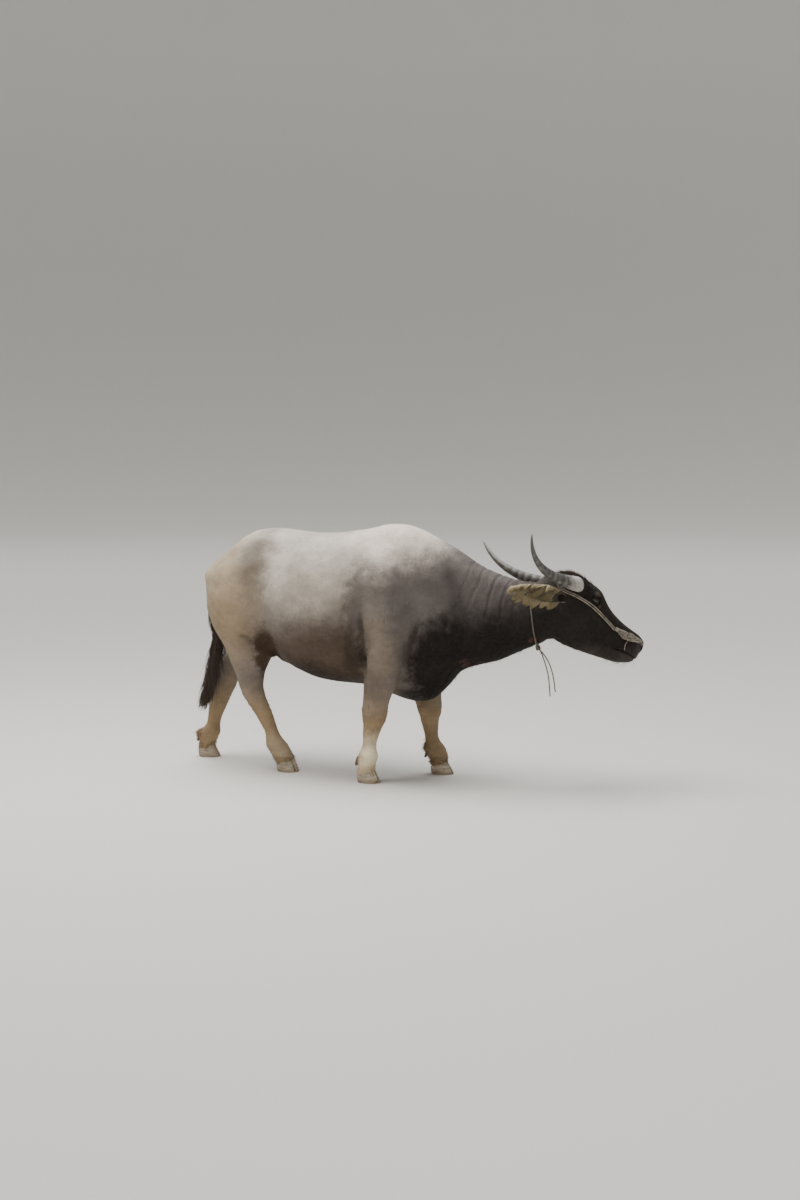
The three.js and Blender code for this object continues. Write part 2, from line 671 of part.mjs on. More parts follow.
function add(name, geometry, look, parent = buffalo) {
  const mesh = new THREE.Mesh(geometry, new THREE.MeshStandardMaterial(look));
  mesh.name = name;
  parent.add(mesh);
}

const SIDES = { right: -1, left: 1 };
const bothOf = (make) => Object.values(SIDES).map(make);
const head = headFrame();

// Trunk, neck and skull are one flesh, parted by two planes
const TRUNK_NECK = { at: [385, 0, 600], normal: [690, 0, 255] };
const NECK_HEAD = { at: [752, 90, 860], normal: [0.93, 0.3, 0.06] };
const opposite = (p) => p.map((v) => -v);

// The tail from the top of the rump to its tip, with the core's radius at each place
const TAIL_ROUTE = [
  [-1008, 0, 1046],
  [-1068, 0, 1004],
  [-1098, 0, 944],
  [-1100, 2, 860],
  [-1082, 4, 760],
  [-1064, 5, 690],
  [-1068, 6, 600],
  [-1086, 6, 500],
  [-1110, 6, 410],
  [-1140, 4, 316],
];
const TAIL_RADII = [38, 33, 27, 22, 19, 18, 18, 15, 9, 2.5];
const TAIL_PARTING = { at: [-1098, 0, 985], normal: [-0.25, 0, -1] };

function tailCore() {
  const curve = new THREE.CatmullRomCurve3(TAIL_ROUTE.map(vec), false, "centripetal");
  const radii = new THREE.CatmullRomCurve3(TAIL_RADII.map((r, i) => new THREE.Vector3(i, r, 0)));
  const side = new THREE.Vector3(0, 1, 0);
  const rings = Array.from({ length: RINGS.tail }, (_, i) => {
    const t = i / (RINGS.tail - 1);
    const centre = curve.getPoint(t);
    const radius = radii.getPoint(t).y;
    const back = curve.getTangent(t).cross(side).normalize();
    return Array.from({ length: 7 }, (_, j) => {
      const angle = (2 * Math.PI * j) / 7;
      return centre
        .clone()
        .addScaledVector(side, radius * Math.cos(angle))
        .addScaledVector(back, radius * Math.sin(angle));
    });
  });
  return solid(loft(rings));
}

// Locks of the switch, in turns down the lower half of the tail
function tailLocks() {
  const curve = new THREE.CatmullRomCurve3(TAIL_ROUTE.map(vec), false, "centripetal");
  const count = 7;
  return Array.from({ length: count }, (_, i) => {
    const t = mix(0.6, 0.92, i / (count - 1));
    const angle = 2.4 * i;
    const down = curve.getTangent(t);
    const round = new THREE.Vector3(Math.cos(angle), Math.sin(angle), 0);
    round.addScaledVector(down, -round.dot(down)).normalize();
    const out = round.clone().multiplyScalar(0.42).addScaledVector(down, 0.9).normalize();
    const across = down.clone().cross(round).normalize();
    const length = mix(165, 90, i / (count - 1));
    const root = curve.getPoint(t);
    return solid(lock({ root, out, fall: down, length, width: 54, across, sink: 0 }));
  });
}

// A point of a surface, met from outside on the way to an inner point, lifted off it
function layOn(surface, outer, inner, lift) {
  const from = vec(outer);
  const towards = vec(inner).sub(from).normalize();
  const ray = new THREE.Raycaster(from.clone().addScaledVector(towards, -150), towards);
  const [hit] = ray.intersectObject(surface);
  return hit.point.clone().addScaledVector(hit.face.normal, lift).toArray();
}

// A small udder with four teats between the thighs
function udder(grow = 0) {
  const [long, wide, tall] = [100, 84, 66].map((size) => size + grow);
  const teat = [10, 10, 20].map((size) => size + grow);
  return [
    ellipsoid([-720, 0, 652], [long, wide, tall], 12, 7),
    ...bothOf((side) => ellipsoid([-690, side * 32, 600], teat, 6, 5)),
    ...bothOf((side) => ellipsoid([-748, side * 28, 602], teat, 6, 5)),
  ].map(solid);
}

const torsoBody = join([trunk(), ...udder()]);
const tailWhole = tailCore();
const tailStub = beyond(tailWhole, TAIL_PARTING.at, opposite(TAIL_PARTING.normal));

const lidSwellings = bothOf((side) =>
  ellipsoid([EYE_AT[0] - 1, side * (EYE_AT[1] - 3), EYE_AT[2] + 1], [31, 28, 25], 10, 7),
);
const hornCollars = bothOf((side) => {
  const [base] = HORN_SWEEP;
  return ellipsoid([base[0] + 4, side * (base[1] - 6), base[2] + 2], [46, 26, 40], 11, 7);
});
const nostrils = bothOf((side) => ellipsoid([500, side * 40, -40], [24, 10, 13], 7, 5));
const earParting = (side) => {
  const { at, along } = earPlace(side, EAR_PARTING);
  return { at: at.toArray(), normal: along.toArray() };
};
const earRoots = bothOf((side) => {
  const { at, normal } = earParting(side);
  return beyond(earCup(side), at, opposite(normal));
});

const skullWhole = join([skull(), ...hornCollars.map(solid), ...lidSwellings.map(solid), ...earRoots]);
const skullSurface = new THREE.Mesh(largest(skullWhole));

// The line of the mouth, from one corner round the front of the lips to the other
function mouthGroove() {
  const half = [
    [405, 70, -146],
    [430, 80, -132],
    [460, 80, -120],
    [490, 76, -112],
    [516, 44, -106],
  ];
  const front = [540, 0, -103];
  const right = half.map(([x, y, z]) => [x, -y, z]);
  const route = [...right, front, ...half.reverse()].map((outer) => {
    const inner = [Math.min(outer[0], 470), 0, outer[2]];
    return layOn(skullSurface, outer, inner, -1.2);
  });
  return solid(tube(route, 4.2, 5, 16));
}

// The strand that goes from the knot's end into the nostril
function nostrilStrand(side, grow = 0) {
  const outside = layOn(skullSurface, [478, side * 68, -38], [478, 0, -100], 8);
  return solid(tube([outside, [496, side * 62, -38], [502, side * 38, -41]], 5 + grow, 6, 5));
}

// The knots on both sides of the nose: a wrapped lump, and strands on to the nostril
function noseKnot(side, grow = 0) {
  const reach = [19, 9, 13].map((size) => size + grow);
  const place = layOn(skullSurface, [340, side * 76, -72], [340, 0, SKULL_CORE[2]], 12);
  const strands = Array.from({ length: 2 }, (_, k) => {
    const route = Array.from({ length: 6 }, (_, i) => {
      const t = i / 5;
      const sway = 24 * Math.sin(Math.PI * t) * Math.sin(2.4 * k + 3 * t);
      const outer = [mix(338, 478, t), side * mix(76, 68, t), mix(-72, -38, t) + sway];
      return layOn(skullSurface, outer, [outer[0], 0, -100], 7 + 4 * Math.abs(Math.sin(1.3 * k + 4 * t)));
    });
    return solid(tube(route, 4.5, 5, 12));
  });
  return join([solid(ellipsoid(place, reach, 8, 6)), ...strands, nostrilStrand(side)]);
}

// One of the pair of cords from the right knot over the poll to the left knot
function headCord(apart) {
  const half = (side) =>
    HEAD_CORD_ROUTE.map(({ at, apart: way }) => {
      const shift = 0.5 * apart * CORD_SPACING;
      const outer = [at[0] + shift * way[0], side * at[1], at[2] + shift * way[1]];
      const inner = [Math.max(outer[0], SKULL_CORE[0]), 0, SKULL_CORE[2]];
      return layOn(skullSurface, outer, inner, CORD_LIFT);
    });
  const aside = 0.5 * apart * CORD_SPACING;
  const { at: centre, apart: way } = CORD_MIDDLE;
  const middle = [centre[0] + aside * way[0], 0, centre[2] + aside * way[1]];
  const crown = layOn(skullSurface, middle, SKULL_CORE, CORD_LIFT);
  return solid(tube([...half(-1), crown, ...half(1).reverse()], CORD_RADIUS, 6, 36));
}

const nostrilOpenings = nostrils.map(solid);
const knotClearance = bothOf((side) => noseKnot(side, GAP));
const skullCut = cut(skullWhole, [
  mouthGroove(),
  ...nostrilOpenings,
  ...bothOf(lidOpening),
  ...bothOf((side) => solid(eyeball(side, EYE_RADIUS + GAP))),
  ...bothOf((side) => solid(loft(hornRings(side, GAP)))),
  ...bothOf((side) => nostrilStrand(side, GAP)),
]);
const bareNeck = neckBody();
const skullPlaced = solid(placed(largest(skullCut), head));
const neckSurface = new THREE.Mesh(largest(join([bareNeck, skullPlaced])));

// A place on the neck cord's loop, by its angle from the nape
function loopPlace(angle, lift) {
  const { at, up, across } = NECK_LOOP;
  const outer = vec(at)
    .addScaledVector(vec(up), 270 * Math.cos(angle))
    .addScaledVector(vec(across), 270 * Math.sin(angle));
  return layOn(neckSurface, outer.toArray(), at, lift);
}

const neckKnotAt = loopPlace(Math.PI, NECK_KNOT_RADIUS + 2);
const neckKnot = (grow = 0) =>
  solid(ellipsoid(neckKnotAt, [13, 12, 15].map((size) => size + grow), 8, 6));

// The neck cord from the knot round the neck and back, slack below the throat
function neckCord() {
  const count = 26;
  const route = Array.from({ length: count }, (_, i) => {
    const angle = Math.PI * (-1 + (2 * (i + 0.5)) / count);
    const slack = 9 * Math.max(0, -Math.cos(angle)) ** 3;
    return loopPlace(angle, NECK_CORD_RADIUS + 2.4 + slack);
  });
  return solid(tube([neckKnotAt, ...route, neckKnotAt], NECK_CORD_RADIUS, 6, 40));
}

// A free end that hangs from the knot at the throat
function cordEnd(route) {
  const places = route.map((p) => vec(p).add(vec(neckKnotAt)).toArray());
  return cut(solid(tube(places, NECK_CORD_RADIUS - 1, 8, 16)), [neckKnot(GAP)]);
}

const flesh = join([torsoBody, tailStub, bareNeck, skullPlaced]);
const forward = beyond(flesh, TRUNK_NECK.at, TRUNK_NECK.normal);
add("torso", largest(beyond(flesh, TRUNK_NECK.at, opposite(TRUNK_NECK.normal))), HIDE);
add("neck", largest(beyond(forward, NECK_HEAD.at, opposite(NECK_HEAD.normal))), HIDE);
add("head", largest(beyond(forward, NECK_HEAD.at, NECK_HEAD.normal)), DARK_HIDE);

const tail = join([beyond(tailWhole, TAIL_PARTING.at, TAIL_PARTING.normal), ...tailLocks()]);
add("tail", largest(cut(tail, [trunk(GAP)])), TAIL_HAIR);

for (const [name, side] of Object.entries(SIDES)) {
  add("eye_" + name, placed(eyeball(side, EYE_RADIUS), head), EYE);
  add("horn_" + name, placed(loft(hornRings(side)), head), HORN);
  const { at, normal } = earParting(side);
  const ear = join([beyond(earCup(side), at, normal), ...earFringe(side)]);
  add("ear_" + name, placed(largest(ear), head), HIDE);
  add("nose_knot_" + name, placed(largest(noseKnot(side)), head), CORD);
}

for (const [name, apart] of Object.entries({ front: 1, rear: -1 })) {
  add("head_cord_" + name, placed(largest(cut(headCord(apart), knotClearance)), head), CORD);
}
add("neck_cord", largest(cut(neckCord(), [neckKnot(GAP)])), CORD);
add("neck_knot", largest(neckKnot()), CORD);
for (const [name, route] of Object.entries(CORD_ENDS)) {
  add(name, largest(cordEnd(route)), CORD);
}

// Legs end under the trunk and above their claws
const trunkClearance = join([trunk(GAP), ...udder(1.5 * GAP)]);
for (const [name, stations] of Object.entries(LEGS)) {
  const side = name.endsWith("right") ? -1 : 1;
  const foot = footFrame(FEET[name]);
  const whole = limb(stations, side);
  const cleft = new THREE.BoxGeometry(190, CLAW_GAP, 90);
  cleft.translate(0, 0, 30);
  const { fetlock } = FEET[name];
  const dewSockets = [-1, 1].map((outer) => solid(placed(dewClaw(outer, fetlock, GAP), foot)));
  const shaped = cut(whole, [trunkClearance, solid(placed(cleft, foot)), ...dewSockets]);
  const { at, normal } = HAIR_LINE;
  const leg = beyond(shaped, placePoint(at, foot), placeDirection(normal, foot), GAP);
  add(name, largest(leg), HIDE);
  for (const [place, outer] of Object.entries({ inner: -side, outer: side })) {
    add(name + "_claw_" + place, placed(claw(outer), foot), HOOF);
    add(name + "_dewclaw_" + place, placed(dewClaw(outer, fetlock), foot), HOOF);
  }
}

export default buffalo;
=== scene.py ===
# A life-size swamp buffalo cow: skin, coat, horns, hooves, eyes and halter around the fixed frame.
# Lengths are metres. The animal faces +X, its left is +Y, and its soles are on Z = 0.
import bpy
import bmesh
import math
import numpy as np
from mathutils import Matrix, Vector
from mathutils.bvhtree import BVHTree
from mathutils.kdtree import KDTree


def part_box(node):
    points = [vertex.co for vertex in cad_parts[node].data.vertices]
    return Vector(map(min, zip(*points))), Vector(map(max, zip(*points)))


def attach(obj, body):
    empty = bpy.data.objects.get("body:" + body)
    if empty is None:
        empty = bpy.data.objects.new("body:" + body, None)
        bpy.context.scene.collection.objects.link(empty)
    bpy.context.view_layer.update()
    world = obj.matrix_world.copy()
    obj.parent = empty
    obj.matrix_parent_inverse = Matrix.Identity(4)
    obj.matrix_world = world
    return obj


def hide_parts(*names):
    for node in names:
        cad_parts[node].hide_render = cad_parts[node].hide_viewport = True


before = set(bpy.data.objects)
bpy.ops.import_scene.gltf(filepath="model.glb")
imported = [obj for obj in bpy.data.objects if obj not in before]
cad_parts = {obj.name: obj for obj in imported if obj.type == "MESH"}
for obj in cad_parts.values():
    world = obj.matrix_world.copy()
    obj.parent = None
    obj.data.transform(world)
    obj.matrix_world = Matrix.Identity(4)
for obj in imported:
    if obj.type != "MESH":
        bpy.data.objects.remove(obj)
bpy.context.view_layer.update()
scene = bpy.context.scene
sides = {"right": -1, "left": 1}

# The camera stands off the right shoulder, above the back
view = {"place": (5.006, -9.777, 2.0), "turn": 27.0, "tilt": 5.79, "focal": 66.0, "sensor": 36.0,
        "far": 300.0}
cameraData = bpy.data.cameras.new("camera")
cameraData.lens = view["focal"]
cameraData.sensor_width = view["sensor"]
cameraData.clip_end = view["far"]


# Objects and points

def newObject(name, data):
    piece = bpy.data.objects.new(name, data)
    scene.collection.objects.link(piece)
    return piece


camera = newObject("camera", cameraData)
camera.location = view["place"]
camera.rotation_euler = (math.radians(90 - view["tilt"]), 0, math.radians(view["turn"]))
scene.camera = camera


def smoothShade(mesh):
    mesh.polygons.foreach_set("use_smooth", [True] * len(mesh.polygons))


def finishMesh(name, bm):
    bmesh.ops.recalc_face_normals(bm, faces=bm.faces)
    mesh = bpy.data.meshes.new(name)
    bm.to_mesh(mesh)
    bm.free()
    smoothShade(mesh)
    return newObject(name, mesh)


def place(piece, material, slot, *nodes):
    piece.data.materials.clear()
    piece.data.materials.append(material)
    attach(piece, "root")
    if nodes:
        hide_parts(*nodes)


def readAll(rows, label, width=3, kind=float):
    # One value or vector of every vertex, edge or face as an array
    values = np.empty(len(rows) * width, dtype=kind)
    rows.foreach_get(label, values)
    return values.reshape(-1, width) if width > 1 else values


def readPoints(mesh):
    return readAll(mesh.vertices, "co")


def readNormals(mesh):
    return readAll(mesh.vertex_normals, "vector")


def writePoints(mesh, points):
    mesh.vertices.foreach_set("co", np.ascontiguousarray(points, dtype=np.float32).ravel())
    mesh.update()


def keepValues(mesh, name, values):
    # An attribute of the vertices that the materials read
    layer = mesh.attributes.get(name) or mesh.attributes.new(name, "FLOAT", "POINT")
    layer.data.foreach_set("value", np.clip(values, 0, 1.2).astype(np.float32))


def applied(piece):
    shape = piece.evaluated_get(bpy.context.evaluated_depsgraph_get())
    mesh = bpy.data.meshes.new_from_object(shape)
    piece.modifiers.clear()
    old = piece.data
    piece.data = mesh
    bpy.data.meshes.remove(old)


def ease(value, low, high):
    # A smooth step from 0 at low to 1 at high
    t = np.clip((value - low) / (high - low), 0, 1)
    return t * t * (3 - 2 * t)


def bell(distance, reach):
    return np.exp(-((distance / reach) ** 2))


def size(vectors):
    return np.linalg.norm(vectors, axis=-1)


def unit(vectors):
    return vectors / np.maximum(np.linalg.norm(vectors, axis=-1, keepdims=True), 1e-9)


def sided(at, side):
    # A place given for the left side, on either side of the middle
    return np.array(at) * [1, side, 1]


# The head's own frame: X along the face line to the nose, Y to its left, Z out of the face
headPose = {"poll": (0.905, 0.127, 1.066), "yaw": 36.0, "pitch": 45.0, "roll": -9.5}
headTurn = (
    Matrix.Rotation(math.radians(headPose["yaw"]), 3, "Z")
    @ Matrix.Rotation(math.radians(headPose["pitch"]), 3, "Y")
    @ Matrix.Rotation(math.radians(headPose["roll"]), 3, "X")
)
headMatrix = Matrix.Translation(headPose["poll"]) @ headTurn.to_4x4()
headAxes = np.array(headTurn)
headPoll = np.array(headPose["poll"])


def toHead(points):
    return (points - headPoll) @ headAxes


def fromHead(points):
    return np.asarray(points) @ headAxes.T + headPoll


def smoothRoute(points, count):
    # A smooth curve through the points, spaced evenly along itself
    points = np.asarray(points, float)
    ends = np.vstack([2 * points[0] - points[1], points, 2 * points[-1] - points[-2]])
    dense = []
    for a, b, c, d in zip(ends, ends[1:], ends[2:], ends[3:]):
        for t in np.linspace(0, 1, 24, endpoint=False):
            dense.append(0.5 * (2 * b + (c - a) * t + (2 * a - 5 * b + 4 * c - d) * t * t
                                + (3 * b - a - 3 * c + d) * t ** 3))
    dense = np.array(dense + [points[-1]])
    length = np.concatenate([[0], np.cumsum(size(np.diff(dense, axis=0)))])
    even = np.linspace(0, length[-1], count)
    return np.stack([np.interp(even, length, dense[:, k]) for k in range(3)], axis=1)


def bezierRoute(points, count):
    a, b, c, d = np.asarray(points, float)
    t = np.linspace(0, 1, count)[:, None]
    return (1 - t) ** 3 * a + 3 * (1 - t) ** 2 * t * b + 3 * (1 - t) * t * t * c + t ** 3 * d


def sweep(bm, route, radii, sideCount, across, flat=1.0, twist=0.0, lobes=0.0):
    # A closed tube: a ring of vertices, extruded and carried from place to place along a route
    route = np.asarray(route, float)
    radii = np.broadcast_to(radii, len(route))
    steps = np.gradient(route, axis=0)
    wide = Vector(across)
    frames = []
    for i, (centre, step, radius) in enumerate(zip(route, steps, radii)):
        axis = Vector(step).normalized()
        wide = (wide - axis * wide.dot(axis)).normalized()
        thin = axis.cross(wide)
        turn = Matrix((wide, thin, axis)).transposed().to_4x4() @ Matrix.Rotation(twist * i, 4, "Z")
        shape = Matrix.Diagonal((radius, radius * flat, radius, 1))
        frames.append(Matrix.Translation(centre) @ turn @ shape)
    ring = bmesh.ops.create_circle(bm, segments=sideCount, radius=1)["verts"]
    if lobes:
        for vert in ring:
            vert.co *= 1 + lobes * math.cos(3 * math.atan2(vert.co.y, vert.co.x))
    bmesh.ops.transform(bm, matrix=frames[0], verts=ring)
    edges = list({edge for vert in ring for edge in vert.link_edges})
    bmesh.ops.contextual_create(bm, geom=edges)
    for before, after in zip(frames, frames[1:]):
        grown = bmesh.ops.extrude_edge_only(bm, edges=edges)["geom"]
        ring = [g for g in grown if isinstance(g, bmesh.types.BMVert)]
        edges = [g for g in grown if isinstance(g, bmesh.types.BMEdge)]
        bmesh.ops.transform(bm, matrix=after @ before.inverted(), verts=ring)
    bmesh.ops.contextual_create(bm, geom=edges)


def ball(bm, centre, reach, turn=Matrix.Identity(3), detail=3):
    shape = Matrix.Translation(centre) @ turn.to_4x4() @ Matrix.Diagonal((*reach, 1))
    bmesh.ops.create_icosphere(bm, subdivisions=detail, radius=1, matrix=shape)


# Shader nodes

class Value:
    # A node's output that takes part in plain arithmetic
    def __init__(self, tree, node, output=0):
        self.tree = tree
        self.socket = node.outputs[output]

    def node(self, kind, inputs, output=0, **settings):
        return Value(self.tree, wire(self.tree, kind, inputs, **settings), output)

    def __mul__(self, other):
        return maths("MULTIPLY", self, other)

    def __add__(self, other):
        return maths("ADD", self, other)

    def __rsub__(self, other):
        return maths("SUBTRACT", other, self)


def wire(tree, kind, inputs, **settings):
    # A node whose inputs are plain values or the outputs that feed them
    made = tree.nodes.new("ShaderNode" + kind)
    for key, value in settings.items():
        setattr(made, key, value)
    for key, value in inputs.items():
        if isinstance(value, Value):
            tree.links.new(value.socket, made.inputs[key])
        else:
            made.inputs[key].default_value = value
    return made


def maths(operation, a, b, clamp=False):
    one = a if isinstance(a, Value) else b
    return one.node("Math", {0: a, 1: b}, operation=operation, use_clamp=clamp)


def vectorMaths(operation, a, inputs):
    return a.node("VectorMath", {0: a, **inputs}, operation=operation)


def blend(share, a, b, mode="MIX"):
    # One colour over another; plain ones are given as three numbers
    one = next(value for value in (share, a, b) if isinstance(value, Value))
    a, b = ((*c, 1) if isinstance(c, tuple) else c for c in (a, b))
    return one.node("Mix", {0: share, 6: a, 7: b}, 2, data_type="RGBA", blend_type=mode)


def feed(shader, label, value):
    value.tree.links.new(value.socket, shader.inputs[label])


def startMaterial(name, roughness, specular=0.5):
    material = bpy.data.materials.new(name)
    material.use_nodes = True
    shader = material.node_tree.nodes["Principled BSDF"]
    shader.inputs["Roughness"].default_value = roughness
    shader.inputs["Specular IOR Level"].default_value = specular
    return material, shader, Value(material.node_tree, wire(material.node_tree, "TexCoord", {}), "Object")


# Stage: a pale floor that curves up into a round wall, a pale room and soft lamps
stage = {"floor": (0.6, 0.575, 0.54), "wall": (0.8, 0.785, 0.765), "flat": 17.0, "bend": 7.0, "tall": 16.0,
         "steps": 12, "sides": 96, "rough": 0.9, "room": (0.9, 0.915, 0.94), "roomLight": 0.37}
lamps = [
    {"name": "skyLamp", "place": (-1.4, -1.2, 5.2), "aim": (-0.1, 0, 0.6), "size": 3.2, "power": 330,
     "colour": (1.0, 0.98, 0.95)},
    {"name": "frontLamp", "place": (3.5, -6.0, 3.6), "aim": (0.2, 0, 0.7), "size": 3.0, "power": 45,
     "colour": (0.96, 0.98, 1.0)},
]
overcast = {"power": 2.8, "wide": 42, "lean": (-14, -10, 0)}


def makeStage():
    profile = [(0.0, 0.0), (stage["flat"] / 2, 0.0)]
    for i in range(stage["steps"] + 1):
        angle = math.pi / 2 * i / stage["steps"]
        out, up = stage["bend"] * math.sin(angle), stage["bend"] * (1 - math.cos(angle))
        profile.append((stage["flat"] + out, up))
    profile.append((stage["flat"] + stage["bend"], stage["tall"]))
    bm = bmesh.new()
    verts = [bm.verts.new((reach, 0, height)) for reach, height in profile]
    edges = [bm.edges.new(pair) for pair in zip(verts, verts[1:])]
    around = {"cent": (0, 0, 0), "axis": (0, 0, 1), "angle": 2 * math.pi, "steps": stage["sides"]}
    bmesh.ops.spin(bm, geom=verts + edges, **around)
    bmesh.ops.remove_doubles(bm, verts=bm.verts, dist=1e-4)
    piece = finishMesh("floor", bm)
    material, shader, position = startMaterial("paleStage", stage["rough"])
    height = position.node("SeparateXYZ", {0: position}, "Z")
    rise = height.node("MapRange", {"Value": height, "From Max": stage["bend"]}, "Result")
    feed(shader, "Base Color", blend(rise, stage["floor"], stage["wall"]))
    piece.data.materials.append(material)
    return piece


makeStage()

world = bpy.data.worlds.new("room")
scene.world = world
world.use_nodes = True
world.node_tree.nodes["Background"].inputs["Color"].default_value = (*stage["room"], 1)
world.node_tree.nodes["Background"].inputs["Strength"].default_value = stage["roomLight"]
for row in lamps:
    lamp = bpy.data.lights.new(row["name"], "AREA")
    lamp.shape = "SQUARE"
    lamp.size = row["size"]
    lamp.energy = row["power"]
    lamp.color = row["colour"]
    holder = newObject(row["name"], lamp)
    holder.location = row["place"]
    holder.rotation_euler = (Vector(row["aim"]) - Vector(row["place"])).to_track_quat("-Z", "Y").to_euler()
sky = bpy.data.lights.new("overcastSky", "SUN")
sky.energy = overcast["power"]
sky.angle = math.radians(overcast["wide"])
newObject("overcastSky", sky).rotation_euler = [math.radians(lean) for lean in overcast["lean"]]
print("stage lit")


# Skin: the flesh of the frame in one closed surface

flesh = ["torso", "neck", "head", "foreleg_right", "foreleg_left", "hindleg_right", "hindleg_left"]
claws = [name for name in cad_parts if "_claw_" in name]
dewclaws = [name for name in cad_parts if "_dewclaw_" in name]
skinSize = {"cell": 0.0128, "clawCore": 0.84, "clawLift": 0.006, "join": 1e-5}
# Bulb of flesh that carries a dewclaw: its place from the claw's middle and top, and its reach
dewBulb = {"back": 0.016, "down": 0.012, "reach": (0.03, 0.016, 0.024)}
hornBase = {"at": (0.052, 0.092, -0.056), "reach": (0.046, 0.03, 0.04)}
tailRoute = [
    (-0.964, -0.06, 1.046), (-1.024, -0.06, 1.004), (-1.054, -0.06, 0.944), (-1.056, -0.06, 0.86),
    (-1.038, -0.056, 0.76), (-1.02, -0.055, 0.69), (-1.024, -0.054, 0.6), (-1.042, -0.054, 0.5),
    (-1.066, -0.054, 0.41), (-1.09, -0.056, 0.335),
]
tailRadii = [0.038, 0.033, 0.027, 0.022, 0.019, 0.017, 0.016, 0.013, 0.009, 0.005]
tailSize = {"rings": 60, "sides": 16}
tailMiddle = [-1.04, -0.056, 0.65]


def tableAt(t, values):
    # A value along a list of evenly spaced ones
    return np.interp(t, np.linspace(0, 1, len(values)), values)


def fleshMesh():
    bm = bmesh.new()
    for name in flesh + ["eye_right", "eye_left"]:
        bm.from_mesh(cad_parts[name].data)
    for name in claws:
        before = set(bm.verts)
        bm.from_mesh(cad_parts[name].data)
        low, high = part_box(name)
        core = Matrix.Translation((low + high) / 2 + Vector((0, 0, skinSize["clawLift"])))
        shrink = core @ Matrix.Scale(skinSize["clawCore"], 4) @ core.inverted()
        bmesh.ops.transform(bm, matrix=shrink, verts=[v for v in bm.verts if v not in before])
    for name in dewclaws:
        low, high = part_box(name)
        at = ((low.x + high.x) / 2 + dewBulb["back"], (low.y + high.y) / 2, high.z - dewBulb["down"])
        ball(bm, at, dewBulb["reach"])
    for side in sides.values():
        ball(bm, headMatrix @ Vector(sided(hornBase["at"], side)), hornBase["reach"], headTurn)
    route = smoothRoute(tailRoute, tailSize["rings"])
    radii = tableAt(np.linspace(0, 1, tailSize["rings"]), tailRadii)
    sweep(bm, route, radii, tailSize["sides"], (0, 1, 0))
    bmesh.ops.remove_doubles(bm, verts=bm.verts, dist=skinSize["join"])
    return finishMesh("skin", bm)


def relax(mesh, weight, rounds, hold=0.0):
    # Moves vertices towards the middle of their neighbours, and back by hold to keep the form's size
    points = readPoints(mesh)
    edges = readAll(mesh.edges, "vertices", 2, np.int64)
    a, b = np.concatenate([edges, edges[:, ::-1]]).T
    count = len(points)
    valence = np.bincount(a, minlength=count)
    weight = np.broadcast_to(weight, count)[:, None]
    for share in (1, -hold) * rounds if hold else (1,) * rounds:
        middle = np.stack([np.bincount(a, points[b, k], count) for k in range(3)], axis=1)
        points = points + share * weight * (middle / valence[:, None] - points)
    writePoints(mesh, points)


def refine(mesh, chosen):
    # Halves the cells where the surface needs fine forms
    bm = bmesh.new()
    bm.from_mesh(mesh)
    edges = [e for e in bm.edges if chosen[e.verts[0].index] and chosen[e.verts[1].index]]
    bmesh.ops.subdivide_edges(bm, edges=edges, cuts=1, use_grid_fill=True)
    bm.to_mesh(mesh)
    bm.free()
    mesh.update()


def keepLargest(mesh):
    # Drops the closed shells inside the skin
    bm = bmesh.new()
    bm.from_mesh(mesh)
    left = set(bm.verts)
    groups = []
    while left:
        seed = left.pop()
        group, rim = {seed}, [seed]
        while rim:
            found = {e.other_vert(v) for v in rim for e in v.link_edges} & left
            left -= found
            group |= found
            rim = list(found)
        groups.append(group)
    for group in sorted(groups, key=len)[:-1]:
        bmesh.ops.delete(bm, geom=list(group), context="VERTS")
    bm.to_mesh(mesh)
    bm.free()


def isLeg(points):
    x, y, z = points.T
    low = ease(-z, -0.8, -0.58)
    belly = ease(x, -0.52, -0.42) * ease(-x, 0.02, 0.1)
    brisket = ease(x, -0.06, 0.02) * ease(-np.abs(y + 0.06), -0.12, -0.07) * ease(z, 0.3, 0.36)
    return low * (1 - np.maximum(belly, brisket))


def legShare(points):
    x, y, z = points.T
    apart = np.abs(y + 0.06)
    rise = np.clip(z - 0.42, 0, 1)
    middle = np.where(y > -0.06, 0.117, 0.024 + 0.27 * rise)
    fore = 1 - ease(np.abs(x - middle) / (0.072 + 0.19 * rise + 0.25 * np.clip(0.36 - z, 0, 1)), 0.8, 1.2)
    fore *= ease(apart, 0.06, 0.1)
    hind = ease(-x, 0.46, 0.54)
    return np.maximum(fore, hind)


def isHead(points):
    return ease(toHead(points)[:, 0], -0.1, 0.03)


skin = fleshMesh()
remesh = skin.modifiers.new("onePiece", "REMESH")
remesh.mode = "VOXEL"
remesh.voxel_size = skinSize["cell"]
applied(skin)
keepLargest(skin.data)
print("skin: one surface of", len(skin.data.polygons), "faces")

points = readPoints(skin.data)
armsAt = [0.06, -0.26, 0.62], [0.11, 0.14, 0.62]
arms = sum(bell(size((points - at) * [1, 1, 0.7]), 0.16) for at in armsAt)
tailShare = bell(size((points - tailMiddle) * [1, 1, 0.12]), 0.055)
broad = 0.5 * (1 - isLeg(points)) * (1 - isHead(points)) * (1 - tailShare)
relax(skin.data, broad, 14)
relax(skin.data, broad * (1 - np.clip(arms, 0, 1)), 46)
relax(skin.data, 0.5 * (1 - 0.5 * isHead(points)) * (1 - 0.6 * tailShare), 9, 1.04)
print("skin relaxed")


